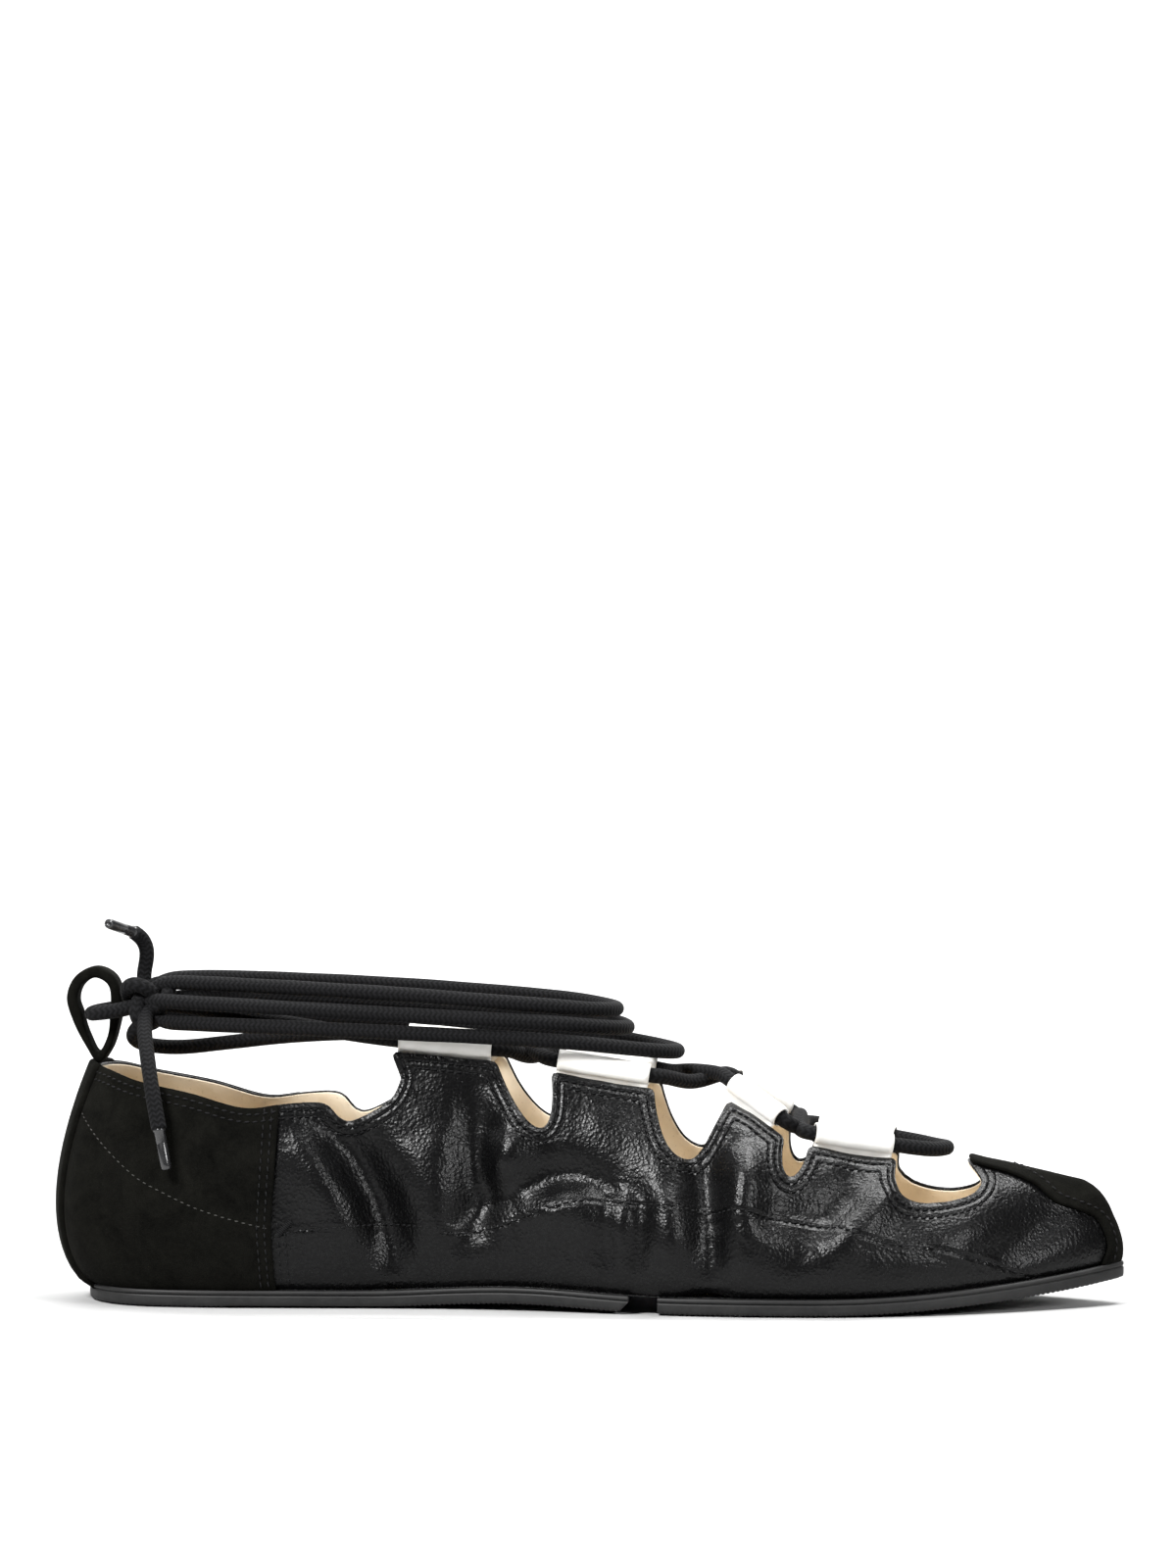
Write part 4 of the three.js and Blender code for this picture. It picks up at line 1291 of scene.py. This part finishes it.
# Suede panels
# Quarters, back strip and toe cap are black suede, laid over the upper with cut edges and sewn.
# The back strip covers the heel seam and is thicker than the rest.
suede_low = 0.06
suede_high = 1.2
strip_low = 0.1
strip_high = 2.4
strip_half = 10.0
strip_gap = 0.5
strip_marks = 70
quarter_step = 1.3
trim_step = 1.1
QUARTER_SEAM = [(0.195, 1.1), (0.195, 0.92), (0.191, 0.62), (0.187, 0.31), (0.192, 0), (0.192, -0.2)]
CAP_SEAM = [
    (0.846, 0.6), (0.852, 0.54), (0.868, 0.505), (0.891, 0.469), (0.916, 0.417), (0.935, 0.353),
    (0.953, 0.314), (0.972, 0.261), (0.981, 0.197), (0.984, 0.123), (0.975, 0.03), (0.97, -0.2),
]
SUEDE_DEEP = (0.001, 0.001, 0.0008, 1)
SUEDE_NAP = (0.0062, 0.0061, 0.0049, 1)


def napped_suede():
    look = {"Roughness": 0.97, "Sheen Weight": 0.012, "Sheen Roughness": 0.4, "Specular IOR Level": 0.04}
    look["Sheen Tint"] = (0.8, 0.78, 0.68, 1)
    suede = Finish("napped_suede", look)
    place = suede.place()
    brushed = suede.noise(place, 16, 4, 0.6, 1.5)
    nap = suede.noise(place, 0.5, 4, 0.75)
    fibres = suede.noise(place, 1.7, 3, 0.7, 0.6)
    tone = suede.ramp(brushed * 0.55 + fibres * 0.3 + nap * 0.3, 0.4, 0.78)
    colour = suede.mix(tone, SUEDE_DEEP, SUEDE_NAP)
    height = nap * 0.7 + fibres * 0.5
    suede.feed(suede.shader, {"Base Color": colour, "Normal": suede.bump(height, 0.22, 0.8)})
    return suede.material


black_suede = napped_suede()


def strip_line(side, half):
    """Where the skin is so far from the heel seam, from the sole up."""
    share = np.linspace(0, 1, strip_marks)
    sides = np.full(strip_marks, side)
    low, high = np.zeros(strip_marks), np.full(strip_marks, 3.0)
    for _ in range(halvings):
        place = (low + high) / 2
        near = np.abs(form(sides, place, share)[:, 1]) < half
        low, high = np.where(near, place, low), np.where(near, high, place)
    return on_sheet(side, low, share)


def strip_patch(side, half):
    line = strip_line(side, half)
    return np.vstack([(-9, -9), (line[0, 0], -9), line, (line[-1, 0], 99), (-9, 99)])


def behind_seam(side):
    line = on_side(side, even_line(seam_rows(QUARTER_SEAM, instep_height), 0.9))
    return line, np.vstack([(line[0, 0], 99), line, (line[-1, 0], -9), (-9, -9), (-9, 99)])


def beyond_cap_seam(side):
    curve = flat_curve(seam_rows(CAP_SEAM, instep_height), 90)
    line = on_side(side, even_line(curve, 0.8))
    wide = GIRTH[side][-1] + 9
    return line, np.vstack([line, (line[-1, 0], -9), (wide, -9), (wide, 99), (line[0, 0], 99)])


def quarter_sheet(side):
    seam, patch = behind_seam(side)
    strip = strip_patch(side, strip_half + strip_gap)

    def keep(centres):
        return inside(centres, patch) & ~inside(centres, strip) & ~inside(centres, throats[side])

    return (side, *cut_sheet(side, [top_lines[side], seam, strip[2:-2]], keep, quarter_step))


def strip_sheet(side):
    strip = strip_patch(side, strip_half)

    def keep(centres):
        return inside(centres, strip) & ~inside(centres, throats[side])

    return (side, *cut_sheet(side, [top_lines[side], strip[2:-2]], keep, trim_step))


def cap_sheet(side):
    seam, patch = beyond_cap_seam(side)

    def keep(centres):
        return inside(centres, patch) & ~inside(centres, throats[side])

    return (side, *cut_sheet(side, [top_lines[side], seam], keep, trim_step))


def add_suede(name, node, sheets, high, low):
    panel = add_leather(name, sheets, high, low, black_suede, 0.7, 4)
    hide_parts(node)
    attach(panel, "root")


add_suede("suede_quarter_outer", "quarter_outer", [quarter_sheet(-1)], suede_high, suede_low)
add_suede("suede_quarter_inner", "quarter_inner", [quarter_sheet(1)], suede_high, suede_low)
add_suede("suede_back_strip", "back_strip", [strip_sheet(-1), strip_sheet(1)], strip_high, strip_low)
add_suede("suede_toe_cap", "toe_cap", [cap_sheet(-1), cap_sheet(1)], suede_high, suede_low)


# Pull loop
# A doubled strap of the same suede stands on the back seam, sewn down in the collar. It leans
# back and carries the turn of the lace.
strap_width = 8.0
strap_thickness = 3.0
loop_height = 25
seam_top_x = 1.68
strap_foot = 59.6
STRAP = [
    (0, 0), (-0.13, 0.17), (-0.27, 0.44), (-0.33, 0.68), (-0.24, 0.89), (-0.04, 0.99),
    (0.16, 0.9), (0.24, 0.66), (0.2, 0.38), (0.12, 0.14),
]
STRAP_HUB = (-0.04, 0.6)
STRAP_SECTION = [
    (0.0, -0.42), (0.12, -0.5), (0.88, -0.5), (1.0, -0.42), (1.0, 0.0), (1.0, 0.42), (0.88, 0.5),
    (0.12, 0.5), (0.0, 0.42), (0.0, 0.0),
]


def strap_place(row):
    along, height = row
    return (seam_top_x + 0.8 + along * loop_height, 0, strap_foot + height * loop_height)


def add_pull_loop():
    route = smooth_line([strap_place(row) for row in STRAP], np.linspace(0, 1, 400), True)
    rim = even_line(route, 0.7)[:-1]
    hub = np.array(strap_place(STRAP_HUB))
    inward = unit(hub - rim)
    points = []
    for centre, way in zip(rim, inward):
        for depth, across in STRAP_SECTION:
            points.append(centre + way * depth * strap_thickness + np.array((0, across * strap_width, 0)))
    faces = tube_faces(len(rim), len(STRAP_SECTION), closed=True)
    loop = add_mesh("pull_loop_strap", in_frame(points), faces, [black_suede])
    bevel = loop.modifiers.new("soft_edges", "SUBSURF")
    bevel.levels = 1
    bevel.render_levels = 1
    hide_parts("pull_loop")
    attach(loop, "root")


add_pull_loop()


# Lace loops
# Eight short strips of white leather, folded round the lace and sewn inside the top edge of the
# tabs, so that the lace runs through them hidden.
loop_radius = 2.66
loop_wall = 0.56
flap_length = 6.0
flap_start = -2.2
flap_corner = 0.2
flap_slant = 5.0
WHITE_LOW = (0.66, 0.64, 0.6, 1)
WHITE_HIGH = (0.86, 0.85, 0.82, 1)


def white_leather():
    white = Finish("white_leather", {"Coat Weight": 0.15, "Coat Roughness": 0.35})
    place = white.place()
    cloud = white.noise(place, 9, 4)
    fine = white.noise(place, 0.7, 3, 0.6)
    colour = white.mix(white.ramp(cloud, 0.3, 0.7), WHITE_LOW, WHITE_HIGH)
    look = {"Base Color": colour, "Roughness": cloud * 0.2 + 0.3, "Normal": white.bump(fine, 0.08, 0.5)}
    white.feed(white.shader, look)
    return white.material


pale_leather = white_leather()


def loop_section():
    """Middle line of the folded strip: flap, turn round the lace, flap. a is inwards, b up."""
    turn = np.radians(np.linspace(238, -85, 34))
    ring = [(loop_radius * math.cos(a), loop_radius * math.sin(a)) for a in turn]
    low = flap_start - flap_length
    flap_in = [(-1.75, low), (-1.7, low / 2 - 1), *ring]
    flap_out = [(-0.9, -2.9), (-1.14, -3.6), (-1.16, low)]
    return np.array([*flap_in, *flap_out])


def add_loop(side, number):
    back, front = (np.array(p) for p in TUNNELS[side][number])
    way = unit(front - back)
    inward = np.array((0, 1.0 if side == "outer" else -1.0, 0))
    inward = unit(inward - way * np.dot(inward, way))
    up = unit(np.cross(inward, way))
    up = up if up[2] > 0 else -up
    section = loop_section()
    slope = unit(np.gradient(section, axis=0))
    out = np.column_stack([-slope[:, 1], slope[:, 0]])
    faces_line = np.vstack([section + out * loop_wall / 2, (section - out * loop_wall / 2)[::-1]])
    along = np.linspace(0, np.linalg.norm(front - back), 22)
    wobble = [0.12 * noise.noise(Vector((number * 3.1, at * 0.2, 1.7))) for at in along]
    points = []
    for at, sway in zip(along, wobble):
        end_ease = 0.25 * (abs(at / along[-1] - 0.5) * 2) ** 8
        trim = min(1, flap_corner + min(at, along[-1] - at) / flap_slant)
        for a, b in faces_line:
            grown = 1 - end_ease * 0.12 + sway * 0.4
            hang = flap_start + (b - flap_start) * trim if b < flap_start else b
            points.append(back + way * at + inward * a * grown + up * hang * grown)
    sides, half = len(faces_line), len(section)
    faces = tube_faces(len(along), sides)
    last = (len(along) - 1) * sides
    for j in range(half - 1):
        far = sides - 1 - j
        faces.append((j + 1, j, far, far - 1))
        faces.append((last + j, last + j + 1, last + far - 1, last + far))
    if np.dot(np.cross(inward, up), way) > 0:
        faces = [tuple(reversed(face)) for face in faces]
    loop = add_mesh(f"white_loop_{side}_{number + 1}", in_frame(points), faces, [pale_leather])
    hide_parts(f"lace_loop_{side}_{number + 1}")
    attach(loop, "root")


for side in ("outer", "inner"):
    for number in range(4):
        add_loop(side, number)


# Soles
# A thin split outsole of black moulded rubber in two pieces, heel and forefoot, with a groove
# along its edge and fine ribs across its tread. Both are cemented to the upper.
sole_thickness = 4.2
pad_end = 0.144 * sole_length
pad_step = 0.4
split_start = 0.532 * sole_length
split_end = 0.56 * sole_length
split_chamfer = 2.4
rib_pitch = 1.25
rib_depth = 0.28
section_step = 0.31
tip_room = 0.02
end_room = 0.02
SOLE_EDGE = [
    (-1.6, 0.0), (-0.9, 0.0), (-0.35, 0.04), (-0.08, 0.13), (0.0, 0.3), (0.0, 0.6), (-0.05, 0.66),
    (-0.42, 0.69), (-0.42, 0.74), (-0.05, 0.77), (0.0, 0.83), (-0.08, 0.95), (-0.35, 1.0), (-1.2, 1.0),
]
SOLE_MIDDLE = 9
RUBBER_DARK = (0.0085, 0.0085, 0.0087, 1)
RUBBER_DUST = (0.02, 0.02, 0.0197, 1)


def moulded_rubber():
    rubber = Finish("moulded_rubber", {"Specular IOR Level": 0.3})
    place = rubber.place()
    dust = rubber.noise(place, 12, 5, 0.65)
    grit = rubber.noise(place, 0.5, 3, 0.6)
    scuffs = rubber.noise(place, 5, 6, 0.7, 2.0)
    tone = rubber.ramp(dust * 0.6 + scuffs * 0.4, 0.42, 0.72)
    colour = rubber.mix(tone, RUBBER_DARK, RUBBER_DUST)
    rough = tone * 0.2 + 0.5
    look = {"Base Color": colour, "Roughness": rough, "Normal": rubber.bump(grit, 0.07, 0.7)}
    rubber.feed(rubber.shader, look)
    return rubber.material


black_rubber = moulded_rubber()


def place_at(x):
    """Place whose outline point lies at x."""
    line = edge_at(np.full(len(PLACES), -1), PLACES)[:, 0]
    return np.interp(x, line, PLACES)


def sole_ring(place, floor_height, tread):
    """One section across the sole: up the outer edge, over, and down the inner edge."""
    at = np.array([place])
    top = ridge_at(at)[0, :2]
    halves = []
    for side in (-1, 1):
        edge = edge_at(np.array([side]), at)[0]
        out = unit(edge - top)
        reach = np.linalg.norm(edge - top)
        half = []
        for away, up in SOLE_EDGE:
            x, y = edge + out * max(away, -0.9 * reach)
            height = rise(edge[0]) + up * sole_thickness
            if up < 0.05:
                height += tread
            half.append((x, y, max(height, floor_height)))
        halves.append(half)
    outer, inner = np.array(halves[0]), np.array(halves[1])
    inset = np.linspace(0, 1, SOLE_MIDDLE + 2)[1:-1, None]
    over = outer[-1] + (inner[-1] - outer[-1]) * inset
    under = inner[0] + (outer[0] - inner[0]) * inset
    return np.vstack([outer, over, inner[::-1], under])


def add_sole(name, node, start, end, floor_of, chamfer):
    xs = np.linspace(start, end, round((end - start) / section_step) + 1)
    rings = []
    for x in xs:
        rib = rib_depth * (0.5 + 0.5 * math.cos(2 * math.pi * x / rib_pitch))
        place = min(max(place_at(x), end_room), rows_of_last - end_room)
        lift = chamfer - (end - x) if chamfer and end - x < chamfer else 0
        rings.append(sole_ring(place, floor_of(x) + max(0, lift), rib if lift == 0 else 0))
    sides = len(rings[0])
    points = list(np.vstack(rings))
    faces = tube_faces(len(rings), sides)
    for first, order in ((0, -1), ((len(rings) - 1) * sides, 1)):
        hub = len(points)
        points.append(np.mean([points[first + j] for j in range(sides)], axis=0))
        for j in range(sides):
            corners = (hub, first + j, first + (j + 1) % sides)
            faces.append(corners if order > 0 else corners[::-1])
    faces = [tuple(reversed(face)) for face in faces]
    sole = add_mesh(name, in_frame(points), faces, [black_rubber])
    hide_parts(node)
    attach(sole, "root")


def heel_floor(x):
    return 0.0 if x < pad_end else pad_step


def forefoot_floor(x):
    return 0.0


add_sole("heel_sole", "outsole_heel", tip_room, split_start, heel_floor, split_chamfer)
add_sole("forefoot_sole", "outsole_forefoot", split_end, sole_length - tip_room, forefoot_floor, 0)


# Stitches
# Black thread runs in two rows along the turned edge and round the panels, light grey thread
# holds the stiffener in the quarters. Each stitch is pulled a little into the leather.
stitch_pitch = 2.05
stitch_length = 1.6
stitch_width = 0.52
stitch_tilt = math.radians(7)
edge_rows = (1.35, 3.15)
panel_rows = (1.3, 3.2)
cap_row_gap = 1.4
nappa_lift = 0.08
suede_lift = suede_high + 0.05
THREAD_BLACK = (0.006, 0.006, 0.0065, 1)
THREAD_GREY = (0.042, 0.041, 0.038, 1)
HEEL_STIFFENER = [
    (-2, 52.5), (0.5, 47.5), (5, 42), (10.6, 36.6), (16.3, 32), (22.8, 28.6), (30, 25.3),
    (36.8, 23), (43.4, 21.2), (48, 20.1),
]
BAR_TACK = [(51.2, 18.2), (54.5, 21.6)]


def thread(name, colour):
    cotton = Finish(name, {"Roughness": 0.7, "Base Color": colour, "Specular IOR Level": 0.14})
    twist = cotton.noise(cotton.place(), 0.3, 2)
    cotton.feed(cotton.shader, {"Normal": cotton.bump(twist, 0.06, 0.8)})
    return cotton.material


def new_tree(name, inputs):
    tree = bpy.data.node_groups.new(name, "GeometryNodeTree")
    tree.interface.new_socket("Geometry", in_out="INPUT", socket_type="NodeSocketGeometry")
    for label in inputs:
        tree.interface.new_socket(label, in_out="INPUT", socket_type="NodeSocketFloat")
    tree.interface.new_socket("Geometry", in_out="OUTPUT", socket_type="NodeSocketGeometry")
    return tree


def tree_node(tree, kind, settings=None, values=None):
    node = tree.nodes.new(kind)
    for name, value in (settings or {}).items():
        setattr(node, name, value)
    for name, value in (values or {}).items():
        if isinstance(value, bpy.types.NodeSocket):
            tree.links.new(value, node.inputs[name])
        else:
            node.inputs[name].default_value = value
    return node


def stitching(name, material):
    """Geometry Nodes: lines in, a stitch laid along them at each pitch, out of the leather."""
    tree = new_tree(name, ["Pitch", "Stitch Length", "Stitch Width", "Stitch Height"])
    given = tree.nodes.new("NodeGroupInput")
    bead = tree_node(tree, "GeometryNodeMeshUVSphere", None, {"Segments": 6, "Rings": 4, "Radius": 0.5})
    spans = [given.outputs[f"Stitch {span}"] for span in ("Length", "Width", "Height")]
    size = tree_node(tree, "ShaderNodeCombineXYZ", None, dict(enumerate(spans)))
    shaped = tree_node(
        tree, "GeometryNodeTransform", None, {"Geometry": bead.outputs["Mesh"], "Scale": size.outputs[0]}
    )
    line = tree_node(tree, "GeometryNodeMeshToCurve", None, {"Mesh": given.outputs["Geometry"]})
    marks = tree_node(
        tree, "GeometryNodeResampleCurve", {"mode": "LENGTH"},
        {"Curve": line.outputs["Curve"], "Length": given.outputs["Pitch"]},
    )
    tangent = tree_node(tree, "GeometryNodeInputTangent")
    out = tree_node(tree, "GeometryNodeInputNamedAttribute", {"data_type": "FLOAT_VECTOR"}, {"Name": "out"})
    laid = tree_node(
        tree, "FunctionNodeAlignRotationToVector", {"axis": "X"}, {"Vector": tangent.outputs["Tangent"]}
    )
    faced = tree_node(
        tree,
        "FunctionNodeAlignRotationToVector",
        {"axis": "Z", "pivot_axis": "X"},
        {"Rotation": laid.outputs[0], "Vector": out.outputs[0]},
    )
    tilted = tree_node(
        tree, "FunctionNodeRotateRotation", {"rotation_space": "LOCAL"},
        {"Rotation": faced.outputs[0], "Rotate By": (0, 0, stitch_tilt)},
    )
    sewn = tree_node(
        tree,
        "GeometryNodeInstanceOnPoints",
        None,
        {
            "Points": marks.outputs["Curve"],
            "Instance": shaped.outputs["Geometry"],
            "Rotation": tilted.outputs[0],
        },
    )
    real = tree_node(tree, "GeometryNodeRealizeInstances", None, {"Geometry": sewn.outputs["Instances"]})
    dyed = tree_node(
        tree, "GeometryNodeSetMaterial", None, {"Geometry": real.outputs[0], "Material": material}
    )
    result = tree.nodes.new("NodeGroupOutput")
    tree.links.new(dyed.outputs[0], result.inputs["Geometry"])
    return tree


def add_stitches(name, tree, lines, sizes):
    """Lines are pairs of points in metres and ways out of the leather."""
    points, edges, outs = [], [], []
    for line, out in lines:
        start = len(points)
        points += [tuple(p) for p in line]
        outs += list(np.asarray(out, float).ravel())
        edges += [(start + i, start + i + 1) for i in range(len(line) - 1)]
    mesh = bpy.data.meshes.new(name + "_lines")
    mesh.from_pydata(points, edges, [])
    mesh.attributes.new("out", "FLOAT_VECTOR", "POINT").data.foreach_set("vector", outs)
    guide = bpy.data.objects.new(name + "_lines", mesh)
    bpy.context.collection.objects.link(guide)
    modifier = guide.modifiers.new("sewing", "NODES")
    modifier.node_group = tree
    labels = {item.name: item.identifier for item in tree.interface.items_tree if item.in_out == "INPUT"}
    for label, value in sizes.items():
        modifier[labels[label]] = value / 1000
    result = bpy.data.meshes.new_from_object(guide.evaluated_get(bpy.context.evaluated_depsgraph_get()))
    bpy.data.objects.remove(guide)
    result.name = name
    result.polygons.foreach_set("use_smooth", [True] * len(result.polygons))
    stitches = bpy.data.objects.new(name, result)
    bpy.context.collection.objects.link(stitches)
    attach(stitches, "root")
    return stitches


def sewn_line(side, seen, lift):
    """A line seen from the side, lying on the leather."""
    place, share = seen_on_form(side, even_line(np.asarray(seen, float), 0.7))
    points, out = skin(np.full(len(place), side), place, share, lift)
    return in_frame(points), out


def rows_below(line, gap, start, end):
    """The top line moved down into the leather, between two places along the shoe, in pieces."""
    slope = unit(np.gradient(line, axis=0))
    moved = line + np.column_stack([slope[:, 1], -slope[:, 0]]) * gap
    near = np.min(np.linalg.norm(moved[:, None] - line[None], axis=2), axis=1)
    kept = (near > gap * 0.97) & (moved[:, 0] > start) & (moved[:, 0] < end)
    pieces, piece = [], []
    for point, good in zip(moved, kept):
        if good:
            piece.append(point)
        elif piece and np.linalg.norm(point - piece[-1]) > 6:
            pieces.append(np.array(piece))
            piece = []
    pieces.append(np.array(piece))
    return [p for p in pieces if len(p) > 3]


def lines_beside(rows, gap, low, high):
    """A seam line moved sideways, between two heights."""
    slope = unit(np.gradient(rows, axis=0))
    moved = rows + np.column_stack([-slope[:, 1], slope[:, 0]]) * gap
    return moved[(moved[:, 1] > low) & (moved[:, 1] < high)]


black_thread = thread("black_thread", THREAD_BLACK)
grey_thread = thread("grey_thread", THREAD_GREY)
black_sewing = stitching("black_sewing", black_thread)
grey_sewing = stitching("grey_sewing", grey_thread)
stitch_sizes = {
    "Pitch": stitch_pitch,
    "Stitch Length": stitch_length,
    "Stitch Width": stitch_width,
    "Stitch Height": stitch_width,
}
quarter_line = even_line(seam_rows(QUARTER_SEAM, instep_height), 0.8)
cap_line = flat_curve(seam_rows(CAP_SEAM, instep_height), 90)

nappa_lines, suede_lines, grey_lines = [], [], []
for side in (-1, 1):
    for gap in edge_rows:
        for row in rows_below(TOP_LINE, gap, 52, 227):
            nappa_lines.append(sewn_line(side, row, nappa_lift))
        for row in rows_below(TOP_LINE, gap, 3, 50):
            suede_lines.append(sewn_line(side, row, suede_lift))
    for gap in panel_rows:
        suede_lines.append(sewn_line(side, lines_beside(quarter_line, -gap, 6, 49), suede_lift))
        nappa_lines.append(sewn_line(side, lines_beside(quarter_line, gap + 0.6, 6, 21), nappa_lift))
    nappa_lines.append(sewn_line(side, flat_curve(SIDE_SEAM, 200), nappa_lift))
    grey_lines.append(sewn_line(side, flat_curve(HEEL_STIFFENER, 90), suede_high + 0.04))
    suede_lines.append(sewn_line(side, lines_beside(cap_line, cap_row_gap, 5, 34), suede_lift))
add_stitches("stitches_nappa", black_sewing, nappa_lines, stitch_sizes)
add_stitches("stitches_suede", black_sewing, suede_lines, stitch_sizes)
fine_sizes = {"Pitch": 1.8, "Stitch Length": 1.1, "Stitch Width": 0.34, "Stitch Height": 0.34}
add_stitches("stitches_stiffener", grey_sewing, grey_lines, fine_sizes)
tack_lines = [sewn_line(side, BAR_TACK, 0.3) for side in (-1, 1)]
tack_sizes = {"Pitch": 0.45, "Stitch Length": 0.5, "Stitch Width": 1.9, "Stitch Height": 0.5}
add_stitches("stitches_tack", black_sewing, tack_lines, tack_sizes)
